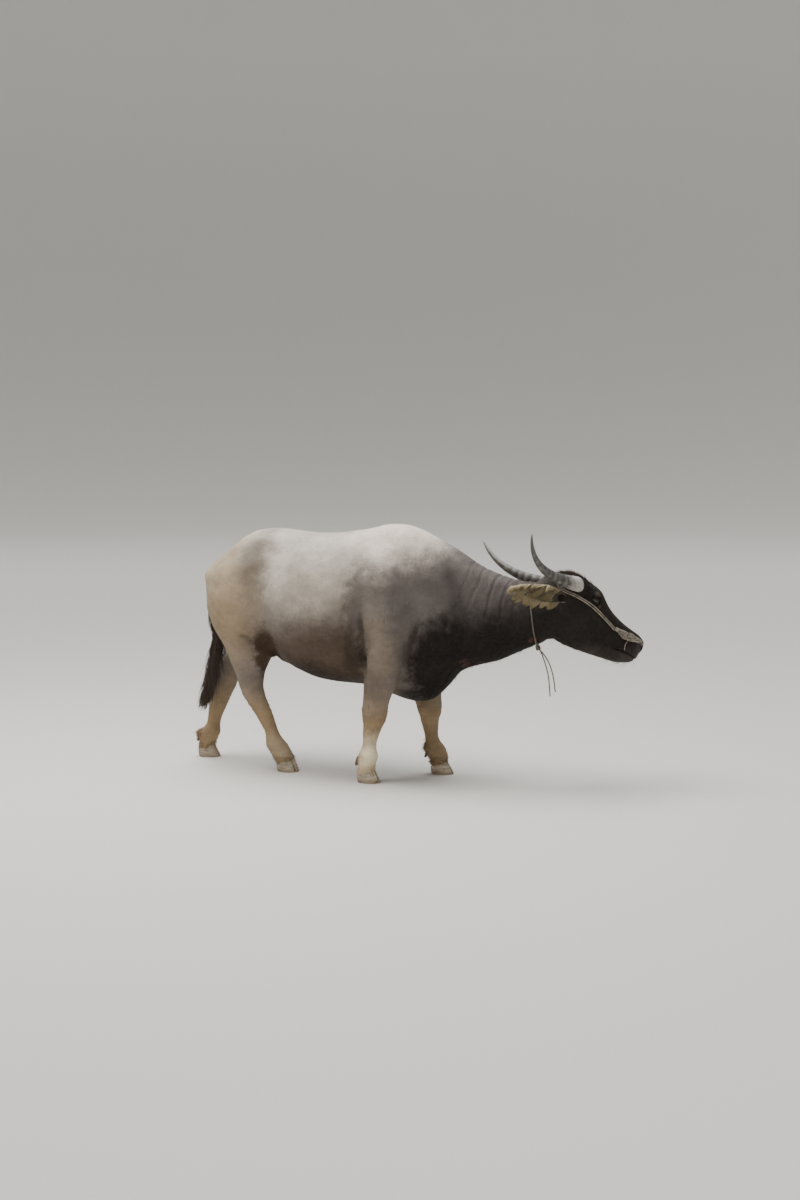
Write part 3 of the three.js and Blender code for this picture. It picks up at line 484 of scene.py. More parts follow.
# Body forms: each has a place beside the middle plane, a reach and a push, the same on both sides
middleY = -0.06
bodyForms = [
    ((-0.64, 0.225, 0.985), (0.06, 0.12, 0.15), (0, -0.034, 0)),  # hollow before the hip
    ((-0.545, 0.19, 1.15), (0.08, 0.09, 0.05), (0, -0.01, -0.006)),  # hollow of the loin
    ((-0.66, 0.215, 1.195), (0.055, 0.06, 0.05), (0, 0.02, 0.015)),  # hip bone
    ((-0.975, 0.11, 0.99), (0.04, 0.05, 0.05), (-0.008, 0.01, 0.004)),  # pin bone
    ((-0.83, 0.19, 1.09), (0.08, 0.06, 0.05), (0, -0.02, -0.006)),  # between hip and pin bone
    ((-0.8, 0.22, 0.88), (0.11, 0.1, 0.15), (0, 0.02, 0)),  # thigh
    ((-0.715, 0.2, 0.745), (0.05, 0.09, 0.075), (0.006, 0.027, 0)),  # stifle
    ((-0.61, 0.19, 0.66), (0.075, 0.07, 0.06), (0, -0.026, 0)),  # hollow before the stifle
    ((-0.48, 0.26, 0.99), (0.07, 0.12, 0.15), (0, 0.018, 0)),  # last rib
    ((-0.3, 0.28, 0.8), (0.16, 0.12, 0.16), (0, 0.012, 0)),  # paunch
    ((0.11, 0.205, 0.7), (0.07, 0.09, 0.11), (0, 0.028, 0)),  # upper arm
    ((0.03, 0.205, 0.8), (0.07, 0.08, 0.08), (0, 0.022, 0)),  # back of the upper arm
    ((0.3, 0.165, 0.8), (0.07, 0.08, 0.08), (0.012, 0.02, 0)),  # point of the shoulder
    ((-0.11, 0.25, 0.86), (0.05, 0.1, 0.17), (0, -0.027, 0)),  # behind the shoulder
    ((0.215, 0.11, 0.48), (0.03, 0.05, 0.11), (0, -0.012, 0)),  # side of the brisket
    ((0.18, 0.16, 1.02), (0.05, 0.08, 0.12), (0, -0.01, 0)),  # hollow before the blade's spine
]
bodyLines = [
    ((0.06, 0.215, 1.17), (0.19, 0.215, 0.9), 0.024, 0.012),  # spine of the shoulder blade
    ((-0.87, 0.205, 0.93), (-0.842, 0.19, 0.6), 0.018, -0.013),  # parting of the thigh
    ((-0.83, 0.14, 0.56), (-0.775, 0.14, 0.42), 0.013, -0.006),  # hollow before the heel tendon
]
# Creases and ridges seen from the side: which sides, the places by length and height, reach and push
sideLines = [
    # behind the elbow
    ((-1,), [(-0.03, 0.86), (-0.02, 0.74), (-0.028, 0.64), (-0.022, 0.52)], 0.015, -0.024),
    ((1,), [(0.01, 0.86), (0.02, 0.74), (0.016, 0.64), (0.02, 0.54)], 0.015, -0.024),
    # before the arm
    ((-1,), [(0.262, 0.82), (0.236, 0.74), (0.205, 0.65), (0.178, 0.55)], 0.016, -0.018),
    ((1,), [(0.3, 0.82), (0.28, 0.74), (0.25, 0.65), (0.225, 0.55)], 0.016, -0.018),
    # neck root
    ((-1, 1), [(0.34, 1.16), (0.395, 1.02), (0.44, 0.88), (0.455, 0.76), (0.42, 0.64)], 0.036, -0.013),
    # flank fold
    ((-1,), [(-0.7, 0.7), (-0.65, 0.65), (-0.59, 0.598), (-0.52, 0.545)], 0.013, 0.015),
    ((1,), [(-0.72, 0.69), (-0.66, 0.645), (-0.59, 0.598), (-0.52, 0.545)], 0.013, 0.015),
    # under the stifle, then the groove and the muscle of the neck
    ((-1, 1), [(-0.735, 0.7), (-0.69, 0.69), (-0.655, 0.65)], 0.014, -0.019),
    ((-1, 1), [(0.48, 0.72), (0.62, 0.77), (0.76, 0.8)], 0.028, -0.007),
    ((-1, 1), [(0.52, 0.98), (0.64, 0.95), (0.76, 0.96)], 0.045, 0.006),
]
# Creases across the neck, from the nape down: each by length and height
neckCreases = [
    ([(0.468, 1.11), (0.45, 1.0), (0.44, 0.92), (0.462, 0.83)], 0.0016),
    ([(0.52, 1.08), (0.51, 0.99), (0.474, 0.88), (0.49, 0.77)], 0.0024),
    ([(0.548, 1.07), (0.556, 0.99), (0.522, 0.93)], 0.0013),
    ([(0.604, 1.07), (0.574, 0.96), (0.566, 0.88), (0.54, 0.74)], 0.0036),
    ([(0.624, 1.07), (0.628, 1.0), (0.596, 0.95)], 0.0015),
    ([(0.668, 1.07), (0.64, 0.97), (0.628, 0.85), (0.596, 0.76)], 0.0032),
    ([(0.7, 1.06), (0.682, 0.99), (0.684, 0.94)], 0.0019),
    ([(0.72, 1.06), (0.714, 0.95), (0.674, 0.84), (0.682, 0.75)], 0.0027),
    ([(0.764, 1.06), (0.75, 0.97), (0.746, 0.87)], 0.0025),
]


# Wrinkles in the skin: where, how the place is weighed, how far they reach, depth, the way the waves
# run, their spacing, and their wander by share, scale and seed
bodyWrinkles = [
    ((0.8, 0.02, 0.7), (1, 1, 1.4), 0.12, 0.004, (1, 0, -0.5), 0.035, (1.5, 9, 6.0)),  # throat
    ((0.36, -0.06, 0.56), (1.2, 1, 0.8), 0.13, 0.005, (0.3, 1, 0), 0.045, (1.0, 8, 0.0)),  # chest
]
sideWrinkles = [
    ((-1,), (0.05, 0, 0.6), (1, 0, 1), 0.075, 0.0022, (0.25, 0, 1), 0.03, (1.8, 10, 3.0)),  # near elbow
    ((1,), (0.095, 0, 0.6), (1, 0, 1), 0.075, 0.0022, (0.25, 0, 1), 0.03, (1.8, 10, 3.0)),  # far elbow
    ((-1, 1), (-0.6, 0, 0.66), (1, 0, 1), 0.07, 0.0028, (1, 0, -0.9), 0.034, (1.4, 9, 1.0)),  # flank
]
headWrinkles = [
    ((0.375, 0.07, -0.145), (1, 0.6, 1), 0.05, 0.0009, (1, 0, 0.4), 0.017, (2.6, 38, 0.0)),  # by the mouth
    ((0.105, 0.055, -0.012), (1, 0.7, 1.2), 0.042, 0.0011, (1, -0.25, 0), 0.0165, (2.2, 30, 5.0)),  # frown
    ((0.125, 0.098, -0.066), (1, 1, 1), 0.024, 0.0009, (0.5, 0, 1), 0.0105, (1.5, 34, 6.0)),  # crow's feet
]
# Ribs and the small lumps under the hide
ribForm = {"depth": 0.0015, "spacing": 0.078, "lean": 0.3, "wander": (1.1, 4, 8.0)}
lumpForms = [(0.0026, 11, 1.0), (0.0016, 24, 2.0)]
# Neck creases: groove reach, swell and its place beside; and how dark the deep side creases are painted as
# shade
creaseForm = {"reach": 0.0058, "swell": 0.35, "beside": 0.016, "swellReach": 0.01, "foldShadeMask": 0.85}


def lineDistance(points, a, b):
    # How far points lie from a straight line, and where along it
    along = np.clip((points - a) @ (b - a) / ((b - a) @ (b - a)), 0, 1)
    return size(points - a - along[:, None] * (b - a)), along


def routeDistance(points, route, steps=10):
    # How far points lie from a smooth flat route, and where along it
    smooth = smoothRoute([(x, 0, z) for x, z in route], steps * (len(route) - 1) + 1)[:, [0, 2]]
    best, share = np.full(len(points), 9.0), np.zeros(len(points))
    for i, (a, b) in enumerate(zip(smooth, smooth[1:])):
        gap, along = lineDistance(points, a, b)
        closer = gap < best
        best = np.where(closer, gap, best)
        share = np.where(closer, (i + along) / (len(smooth) - 1), share)
    return best, share


def waver(points, scale, seed=0.0):
    # A cheap smooth wander between -1 and 1
    x, y, z = (points * scale).T + seed
    return (np.sin(1.7 * x + 1.3 * np.sin(2.1 * z + y)) + np.sin(2.3 * y - 1.1 * x + 0.7 * np.cos(3.1 * z))
            + np.sin(2.9 * z + 0.8 * x + np.sin(1.9 * y))) / 3


def wrinkles(places, points, at, weight, reach, depth, way, spacing, wander):
    drift = wander[0] * waver(points, *wander[1:])
    near = bell(size((places - at) * weight), reach)
    return depth * near * np.sin(2 * math.pi * (places @ way) / spacing + drift)


def pushForms(moved, mirrored, side, forms, share=1.0):
    # Soft pushes given for the left side, the same on both
    for at, reach, push in forms:
        part = share * np.exp(-(((mirrored - at) / reach) ** 2).sum(axis=1))
        moved += part[:, None] * push * np.stack([np.ones(len(side)), side, np.ones(len(side))], axis=1)


def sideView(points):
    return points[:, [0, 2]]


def shapeBody(mesh):
    points, normals = readPoints(mesh), readNormals(mesh)
    side = np.sign(points[:, 1] - middleY)
    mirrored = points.copy()
    mirrored[:, 1] = np.abs(points[:, 1] - middleY)
    moved = points.copy()
    pushForms(moved, mirrored, side, bodyForms)
    for a, b, reach, push in bodyLines:
        gap, _ = lineDistance(mirrored, np.array(a), np.array(b))
        moved += normals * (push * bell(gap, reach))[:, None]
    flat = sideView(points)
    facing = ease(mirrored[:, 1], 0.05, 0.11)
    # Painted shade: how dark the hide is painted along deep creases
    foldShadeMask = np.zeros(len(points))
    for which, route, reach, push in sideLines:
        gap, share = routeDistance(flat + 0.006 * waver(points, 12, 5.0)[:, None], route)
        strength = bell(gap, reach) * ease(share, -0.05, 0.25) * ease(-share, -1.05, -0.75) * facing
        strength = strength * np.isin(side, which)
        moved += normals * (push * strength)[:, None]
        # Deep creases behind the elbow, before the arm, at the neck root and under the stifle get painted
        # shade
        if push < -0.011:
            foldShadeMask = np.maximum(foldShadeMask, creaseForm["foldShadeMask"] * strength)
    x, y, z = points.T
    ribs = ease(x, -0.47, -0.38) * ease(-x, 0.05, 0.14) * ease(z, 0.66, 0.8) * ease(-z, -1.08, -0.94)
    drift = ribForm["wander"][0] * waver(points, *ribForm["wander"][1:])
    along = (x + ribForm["lean"] * (z - 0.85)) / ribForm["spacing"]
    ribs *= ribForm["depth"] * np.cos(2 * math.pi * along + drift)
    creases = np.zeros(len(points))
    wander = flat + np.stack([0.007 * waver(points, 16, 2.0), np.zeros(len(points))], axis=1)
    for route, depth in neckCreases:
        gap, share = routeDistance(wander, route, 4)
        depth = depth * ease(-share, -1.05, -0.45)
        creases -= depth * bell(gap, creaseForm["reach"])
        creases += creaseForm["swell"] * depth * bell(gap - creaseForm["beside"], creaseForm["swellReach"])
        # The neck creases get painted shade too
        foldShadeMask = np.maximum(foldShadeMask, depth / 0.008 * bell(gap, 0.0045))
    body = 1 - isHead(points)
    creases *= 0.2 + 0.8 * body
    folds = sum(wrinkles(points, points, *row) for row in bodyWrinkles)
    for which, *row in sideWrinkles:
        folds += wrinkles(points, points, *row) * facing * np.isin(side, which)
    lumps = sum(depth * waver(points, scale, seed) for depth, scale, seed in lumpForms)
    lumps *= body * ease(z, 0.35, 0.6)
    moved += normals * (ribs + creases + folds + lumps)[:, None]
    writePoints(mesh, moved)
    # Kept as painted shade for the hide's colour
    keepValues(mesh, "fold", np.clip(foldShadeMask * body, 0, 1))


# Joints of the legs: the knee by its front, rear, side place and height, the hock by its point
knees = [(0.074, -0.057, -0.254, 0.335), (0.187, 0.06, 0.13, 0.33)]
hocks = [(-0.781, -0.195, 0.43), (-1.116, 0.052, 0.42)]
legForms = []
for front, rear, y, z in knees:
    legForms += [
        ((front, y, z + 0.012), (0.022, 0.036, 0.03), (0.007, 0, 0)),  # front of the knee
        ((rear, y, z + 0.03), (0.02, 0.03, 0.028), (-0.008, 0, 0)),  # bone behind it
        ((rear + 0.01, y, z - 0.045), (0.024, 0.04, 0.02), (0.005, 0, 0)),  # hollow below it
    ]
    for way in (-1, 1):
        legForms += [
            ((front - 0.018, y + 0.034 * way, z - 0.03), (0.018, 0.018, 0.018), (0.003, 0.005 * way, 0)),
            (((front + rear) / 2, y + 0.046 * way, z + 0.008), (0.028, 0.02, 0.028), (0, 0.006 * way, 0)),
        ]
for rear, y, z in hocks:
    legForms += [
        ((rear, y, z + 0.012), (0.026, 0.026, 0.032), (-0.012, 0, 0.005)),  # point of the hock
        ((rear + 0.128, y, z - 0.03), (0.024, 0.03, 0.036), (0.006, 0, 0)),  # bend of the hock
    ]
    for way in (-1, 1):
        legForms += [
            ((rear + 0.07, y + 0.042 * way, z - 0.045), (0.03, 0.018, 0.034), (0, 0.006 * way, 0)),
            ((rear + 0.04, y + 0.04 * way, z + 0.04), (0.018, 0.02, 0.05), (0, -0.008 * way, 0)),
        ]
# Grooves between the bone and the tendon of each shank: the side and the route
shankGrooves = [
    (-1, [(-0.019, 0.285), (-0.028, 0.225), (-0.038, 0.155)]),
    (1, [(0.112, 0.285), (0.121, 0.225), (0.134, 0.155)]),
    (-1, [(-0.706, 0.34), (-0.668, 0.26), (-0.632, 0.175)]),
    (1, [(-1.08, 0.33), (-1.098, 0.25), (-1.118, 0.165)]),
]
legForm = {"groove": 0.005, "grooveReach": 0.0085, "rings": 0.0024, "coronet": 0.003, "fetlock": 0.004,
           "pasternSpacing": 0.019, "kneeSpacing": 0.024}


def shapeLegs(mesh):
    # Joints, grooves and creases of the legs
    points, normals = readPoints(mesh), readNormals(mesh)
    for at, reach, push in legForms:
        share = np.exp(-(((points - at) / reach) ** 2).sum(axis=1))
        points += share[:, None] * push
    flat = sideView(points)
    sideways = ease(np.abs(normals[:, 1]), 0.25, 0.75) * (points[:, 2] < 0.45)
    for side, route in shankGrooves:
        gap, share = routeDistance(flat, route)
        depth = legForm["groove"] * bell(gap, legForm["grooveReach"]) * sideways
        depth *= ease(share, -0.05, 0.3) * ease(-share, -1.05, -0.7)
        points -= normals * (depth * (np.sign(points[:, 1] - middleY) == side))[:, None]
    z = points[:, 2] + 0.006 * waver(points, 14, 3.0)
    pastern = bell(z - 0.092, 0.03)
    knee = bell(z - 0.33, 0.045)
    wander = 1.2 * waver(points, 22, 7.0)
    rings = pastern * np.cos(2 * math.pi * z / legForm["pasternSpacing"] + wander)
    rings += 0.7 * knee * np.cos(2 * math.pi * z / legForm["kneeSpacing"] + wander)
    rings *= 0.55 + 0.45 * waver(points, 30, 9.0)
    fetlock = bell(z - 0.13, 0.024) - 0.8 * bell(z - 0.19, 0.04)
    coronet = bell(z - 0.056, 0.01)
    rise = legForm["rings"] * rings + legForm["coronet"] * coronet + legForm["fetlock"] * fetlock
    writePoints(mesh, points + normals * (isLeg(points) * rise)[:, None])


# Head forms, in the head's own frame; the same on both sides
eyeForm = {"at": (0.166, 0.083, -0.054), "radius": 0.021, "lid": 0.003, "long": 0.0215, "above": 0.012,
           "below": 0.0104, "cos": 0.94, "sin": 0.34, "reach": 0.046, "edge": 0.0009, "sunk": 0.008}
nostrilForm = {"at": (0.5, 0.05, -0.04), "out": (0.62, 0.7, 0.35), "up": (-0.4, 0.1, 0.9),
               "tall": 0.021, "wide": 0.0105, "deep": 0.02, "wing": 0.0042}
lipForm = {"groove": 0.0065, "swell": 0.003, "apart": 0.01}
mouthX = [0.385, 0.405, 0.43, 0.46, 0.49, 0.516, 0.54]
mouthZ = [-0.154, -0.147, -0.133, -0.121, -0.113, -0.107, -0.104]
headForms = [
    ((0.15, 0.092, -0.022), (0.034, 0.03, 0.017), (0, 0.007, 0.009)),  # brow
    ((0.19, 0.1, -0.088), (0.04, 0.03, 0.012), (0, -0.006, 0)),  # hollow under the eye
    ((0.255, 0.088, -0.104), (0.07, 0.03, 0.011), (0, 0.006, 0)),  # cheek ridge
    ((0.105, 0.1, -0.075), (0.022, 0.04, 0.026), (0, -0.007, 0)),  # temple
    ((0.222, 0.08, -0.2), (0.03, 0.05, 0.06), (0, -0.006, 0)),  # front of the chewing muscle
    ((0.12, 0.1, -0.2), (0.06, 0.05, 0.06), (0, 0.004, 0)),  # chewing muscle
    ((0.33, 0.06, -0.15), (0.06, 0.04, 0.026), (0, -0.006, 0)),  # hollow of the cheek
    ((0.34, 0.03, -0.01), (0.07, 0.016, 0.02), (0, 0.0, -0.003)),  # side of the nose bone
    ((0.48, 0.06, -0.095), (0.035, 0.03, 0.014), (0.002, 0.005, 0)),  # upper lip
    ((0.5, 0.03, -0.128), (0.022, 0.04, 0.012), (0.004, 0.003, -0.002)),  # lower lip
    ((0.455, 0.02, -0.17), (0.03, 0.04, 0.016), (0, 0, -0.005)),  # chin
]


def eyeSpot(local, side):
    # Places round one eye: along its slit, up from it, and out of the head
    x, y, z = (local - sided(eyeForm["at"], side)).T
    return eyeForm["cos"] * x + eyeForm["sin"] * z, eyeForm["cos"] * z - eyeForm["sin"] * x, side * y


def mouthGap(local):
    return local[:, 2] - np.interp(local[:, 0], mouthX, mouthZ)


def nostrilSpot(local, side):
    # Places round one nostril: along it, across it and out of the head, and the way out
    gap = (local - sided(nostrilForm["at"], side)) * [1, side, 1]
    out = unit(np.array(nostrilForm["out"]))
    up = unit(np.array(nostrilForm["up"]) - out * (np.array(nostrilForm["up"]) @ out))
    across = np.cross(out, up)
    return gap @ up, gap @ across + 9.0 * (gap @ up) ** 2, gap @ out, out * [1, side, 1]


def fineSpots(points, reach):
    # Where the eyes, nostrils and lips need smaller cells
    local = toHead(points)
    chosen = np.zeros(len(points), bool)
    for side in sides.values():
        chosen |= size(local - sided(eyeForm["at"], side) * [1, 1.2, 1]) < reach
        chosen |= size(local - sided(nostrilForm["at"], side)) < 0.85 * reach
    x, y, z = local.T
    lips = (np.abs(mouthGap(local)) < 0.42 * reach) & (x > mouthX[0] - 0.01) & (z < -0.05)
    return chosen | (lips & (np.abs(y) < 0.12))


def shapeHead(mesh):
    points, normals = readPoints(mesh), readNormals(mesh)
    local = toHead(points)
    outward = normals @ headAxes
    share = isHead(points)
    side = np.sign(local[:, 1])
    mirrored = np.abs(local * [0, 1, 0]) + local * [1, 0, 1]
    moved = local.copy()
    pushForms(moved, mirrored, side, headForms, share)
    # Lips meet in a groove, also kept as a mask of painted shade
    gap = mouthGap(local)
    front = ease(local[:, 0], mouthX[0], mouthX[1] + 0.01) * share * (local[:, 2] < -0.05)
    crease = front * bell(gap, 0.0026)
    lips = front * (bell(gap - lipForm["apart"], 0.007) + 0.8 * bell(gap + lipForm["apart"], 0.007))
    moved += outward * (lipForm["swell"] * lips - lipForm["groove"] * crease)[:, None]
    moved += outward * (share * sum(wrinkles(mirrored, points, *row) for row in headWrinkles))[:, None]
    for way in sides.values():
        near = (side == way) & (share > 0.5)
        # Nostril: a bent oval pit with a raised wing; the pit is painted with shade
        tall, wide, out, outAxis = nostrilSpot(moved, way)
        wideness = np.hypot(tall / nostrilForm["tall"], wide / nostrilForm["wide"])
        close = near & (np.abs(out) < 0.035) & (wideness < 3)
        pit = nostrilForm["deep"] * (1 - ease(wideness, 0.45, 1.08))
        wing = nostrilForm["wing"] * bell(wideness - 1.45, 0.42)
        moved[close] += ((wing - pit)[:, None] * outAxis)[close]
        crease[close] = np.maximum(crease, 1.2 * (1 - ease(wideness, 0.6, 1.2)))[close]
        # Eye: lids lie over the ball, and part in a slit; the slit and the lid folds are painted with shade
        along, up, out = eyeSpot(moved, way)
        ring = np.hypot(along, up)
        spot = near & (ring < eyeForm["reach"]) & (out > -0.03)
        half = np.where(up > 0, eyeForm["above"], eyeForm["below"])
        slit = half * np.clip(1 - (along / eyeForm["long"]) ** 2, 0, 1) ** 0.85
        within = np.abs(along) < eyeForm["long"]
        rim = spot & (np.abs(np.abs(up) - slit) < eyeForm["edge"]) & within
        shift = np.where(rim, np.sign(up) * slit - up, 0)
        moved[:, 0] -= eyeForm["sin"] * shift
        moved[:, 2] += eyeForm["cos"] * shift
        ballRise = np.sqrt(np.clip(eyeForm["radius"] ** 2 - ring ** 2, 0, None))
        lidRise = np.sqrt(np.clip((eyeForm["radius"] + eyeForm["lid"]) ** 2 - ring ** 2, 0, None))
        hug = 1 - ease(ring, 0.016, 0.03)
        over = up - slit - 0.0085
        under = -up - slit - 0.0075
        folds = bell(over, 0.002) * (up > 0) + 0.8 * bell(under, 0.0019) * (up < 0)
        folds += 0.6 * bell(under - 0.0075, 0.0022) * (up < 0)
        folds *= 1 - ease(np.abs(along), 0.022, 0.034)
        swell = 0.0014 * bell(over + 0.005, 0.0025) * (up > 0)
        rise = hug * lidRise + (1 - hug) * out - 0.0024 * folds + swell
        rise = np.where((np.abs(up) < slit) & within & ~rim, ballRise - eyeForm["sunk"], rise)
        moved[:, 1] = np.where(spot, way * (eyeForm["at"][1] + rise), moved[:, 1])
        crease[spot] = np.maximum(crease, 0.8 * folds + 1.2 * bell(np.abs(up) - slit, 0.0022))[spot]
    writePoints(mesh, fromHead(moved))
    # Painted shade in the lip groove, the nostril pits, the lid folds and the eye's slit
    keepValues(mesh, "crease", crease)


points = readPoints(skin.data)
neckShare = ease(points[:, 0], 0.4, 0.46) * ease(points[:, 2], 0.7, 0.78) * (1 - isHead(points))
refine(skin.data, neckShare > 0.3)
relax(skin.data, 0.4 * (readPoints(skin.data)[:, 0] > 0.36), 2)
shapeBody(skin.data)
points = readPoints(skin.data)
refine(skin.data, isLeg(points) * (points[:, 2] < 0.44))
local = toHead(readPoints(skin.data))
refine(skin.data, (local[:, 0] > -0.05) & (np.abs(local[:, 1]) < 0.16) & (local[:, 2] > -0.36))
for reach in (0.05, 0.036):
    relax(skin.data, 0.4 * isHead(readPoints(skin.data)), 2)
    refine(skin.data, fineSpots(readPoints(skin.data), reach))
points = readPoints(skin.data)
relax(skin.data, 0.4 * np.maximum(isHead(points), isLeg(points) * (points[:, 2] < 0.45)), 3)
shapeLegs(skin.data)
shapeHead(skin.data)
smoothShade(skin.data)
print("skin shaped:", sum(len(p.vertices) - 2 for p in skin.data.polygons), "triangles")


# Eyes: a ball whose clear front stands out a little
eyeLook = {"segments": 56, "rings": 40, "look": (0.22, 1, 0.12), "clear": 0.045, "iris": (0.6, 0.68),
           "pupil": (0.38, 0.2)}


def makeEye(name, side):
    bm = bmesh.new()
    radius = eyeForm["radius"]
    cuts = {"u_segments": eyeLook["segments"], "v_segments": eyeLook["rings"]}
    bmesh.ops.create_uvsphere(bm, radius=radius, **cuts)
    look = Vector(sided(eyeLook["look"], side)).normalized()
    points = np.array([v.co for v in bm.verts])
    axis = points @ np.array(look) / radius
    for vert, lean in zip(bm.verts, axis):
        vert.co *= 1 + eyeLook["clear"] * float(ease(lean, 0.8, 0.97))
    at = headMatrix @ Matrix.Translation(sided(eyeForm["at"], side))
    bmesh.ops.transform(bm, matrix=at, verts=bm.verts)
    eye = finishMesh(name, bm)
    around = np.sqrt(np.clip(1 - axis ** 2, 0, None))
    keepValues(eye.data, "iris", (1 - ease(around, *eyeLook["iris"])) * (axis > 0))
    slit = np.array((eyeForm["cos"], 0, eyeForm["sin"]))
    wide = points @ slit / radius - look.dot(Vector(slit)) * axis
    tall = np.sqrt(np.clip(around ** 2 - wide ** 2, 0, None))
    oval = np.hypot(wide / eyeLook["pupil"][0], tall / eyeLook["pupil"][1])
    keepValues(eye.data, "pupil", (1 - ease(oval, 0.85, 1.1)) * (axis > 0))
    return eye


# Horns: a sweep out, back and up, ridged across
hornForm = {
    "sweep": [(0.052, 0.094, -0.056), (-0.002, 0.138, -0.094), (-0.186, 0.208, -0.242),
              (-0.348, 0.372, -0.124)],
    "radius": 0.0415, "rings": 190, "sides": 28, "ridges": 15, "flat": (0.42, 0, 0.9), "squash": 0.8,
    "base": 0.055, "ridge": 0.055, "fibres": 61, "fibre": 0.006,
}


def makeHorn(name, side):
    count = hornForm["rings"]
    t = np.linspace(0, 1, count)
    route = bezierRoute([sided(at, side) for at in hornForm["sweep"]], count)
    taper = (1 - t) ** 0.62 * (1 - 0.1 * t) + 0.03
    start = np.clip(hornForm["base"] - t, 0, 1) / hornForm["base"]
    taper = taper * (0.3 + 0.7 * np.sqrt(np.clip(1 - start ** 2, 0, 1)))
    saw = (t ** 0.92 * hornForm["ridges"] + 0.12 * np.sin(23 * t)) % 1
    ridge = (ease(saw, 0, 0.62) * (1 - ease(saw, 0.7, 1))) * (1 - t) ** 0.8 * ease(t, 0.05, 0.16)
    fine = np.sin(2 * math.pi * hornForm["fibres"] * t) * (1 - t) * ease(t, 0.08, 0.2)
    wide = unit(np.cross(np.gradient(route, axis=0)[0], hornForm["flat"]))
    swell = 1.02 + hornForm["ridge"] * ridge + hornForm["fibre"] * fine
    bm = bmesh.new()
    radii = hornForm["radius"] * taper * swell
    sweep(bm, route, radii, hornForm["sides"], tuple(wide), hornForm["squash"])
    bmesh.ops.transform(bm, matrix=headMatrix, verts=bm.verts)
    horn = finishMesh(name, bm)
    nearest = size(toHead(readPoints(horn.data))[:, None] - route[None]).argmin(axis=1)
    keepValues(horn.data, "along", t[nearest])
    keepValues(horn.data, "ridge", ridge[nearest])
    return horn


# Claws and dewclaws: the frame's own forms, rounded and ringed
clawLook = {"levels": 3, "ring": 0.0062, "depth": 0.0006, "rough": 0.0005, "sharp": 0.8, "top": 0.075,
            "dewFill": 0.0022, "dewShare": 0.7, "dewShift": 0.009, "dewWide": 1.15}


def makeClaws(name, nodes):
    bm = bmesh.new()
    for node in nodes:
        before = set(bm.verts)
        bm.from_mesh(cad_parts[node].data)
        if node in dewclaws:
            low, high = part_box(node)
            middle = (low.y + high.y) / 2
            for vert in set(bm.verts) - before:
                vert.co.z = high.z - clawLook["dewShare"] * (high.z - vert.co.z)
                vert.co.x += clawLook["dewShift"]
                vert.co.y = middle + clawLook["dewWide"] * (vert.co.y - middle)
    bmesh.ops.remove_doubles(bm, verts=bm.verts, dist=skinSize["join"])
    flatEnough = math.radians(40)
    bmesh.ops.join_triangles(bm, faces=bm.faces, angle_face_threshold=flatEnough, angle_shape_threshold=3.1)
    crease = bm.edges.layers.float.get("crease_edge") or bm.edges.layers.float.new("crease_edge")
    for edge in bm.edges:
        if all(v.co.z < 0.002 for v in edge.verts):
            edge[crease] = clawLook["sharp"]
    piece = finishMesh(name, bm)
    subdivide = piece.modifiers.new("round", "SUBSURF")
    subdivide.levels = subdivide.render_levels = clawLook["levels"]
    applied(piece)
    points, normals = readPoints(piece.data), readNormals(piece.data)
    rings = np.sin(2 * math.pi * (points[:, 2] + 0.004 * waver(points, 40)) / clawLook["ring"])
    rings *= clawLook["depth"] * (1 - np.abs(normals[:, 2]))
    fill = np.clip((points[:, 2] - clawLook["top"]) / 0.003, 0, 1) * clawLook["dewFill"]
    points += normals * fill[:, None]
    points += normals * (rings + clawLook["rough"] * waver(points, 60))[:, None]
    points[:, 2] = np.maximum(points[:, 2], 0)
    writePoints(piece.data, points)
    smoothShade(piece.data)
    return piece


# Ears: cupped leaves that grow out of the skull
earForms = {
    "right": {
        "spine": [(0.044, -0.076, -0.166), (0.008, -0.156, -0.176), (-0.092, -0.162, -0.24),
                  (-0.2, -0.128, -0.316)],
        "open": (0.25, -0.8, -0.35), "hang": (0.55, -0.1, -0.8), "lower": 1},
    "left": {
        "spine": [(0.044, 0.076, -0.166), (0.044, 0.16, -0.176), (0.02, 0.25, -0.19),
                  (-0.032, 0.338, -0.206)],
        "open": (0.85, 0.2, -0.45), "hang": (0.6, 0, -0.75), "lower": -1},
}
earSize = {"radii": [0.019, 0.024, 0.037, 0.045, 0.044, 0.034, 0.009], "thick": 0.0042, "turn": 0.95,
           "wrap": (2.75, 1.2), "long": 46, "round": 30, "joint": 0.1, "jointReach": 0.034}


def earFrame(ear, t):
    # Places along the spine, with the ways along it, across it and out of the cup
    a, b, c, d = np.array(ear["spine"])
    t = np.asarray(t, float)[..., None]
    at = (1 - t) ** 3 * a + 3 * (1 - t) ** 2 * t * b + 3 * (1 - t) * t * t * c + t ** 3 * d
    along = 3 * (1 - t) ** 2 * (b - a) + 6 * (1 - t) * t * (c - b) + 3 * t * t * (d - c)
    along = unit(along)
    out = unit(np.array(ear["open"]) - along * (along @ np.array(ear["open"]))[..., None])
    across = np.cross(along, out)
    turn = ear["lower"] * earSize["turn"] * (1 - t)
    return at, along, across * np.cos(turn) - out * np.sin(turn), out * np.cos(turn) + across * np.sin(turn)


def earSurface(ear, t, share, depth=0.0):
    # A place on the ear's outer skin, with share from -1 to 1 round its cup
    radius = tableAt(t, earSize["radii"])
    wide, narrow = earSize["wrap"]
    angle = share * (wide + (narrow - wide) * np.minimum(1, 1.6 * t) ** 0.8)
    at, _, across, out = earFrame(ear, t)
    deep = np.maximum(radius - depth, 0.002)
    high = 0.45 * radius - deep * np.cos(angle)
    return at + across * (deep * np.sin(angle))[..., None] + out * high[..., None]


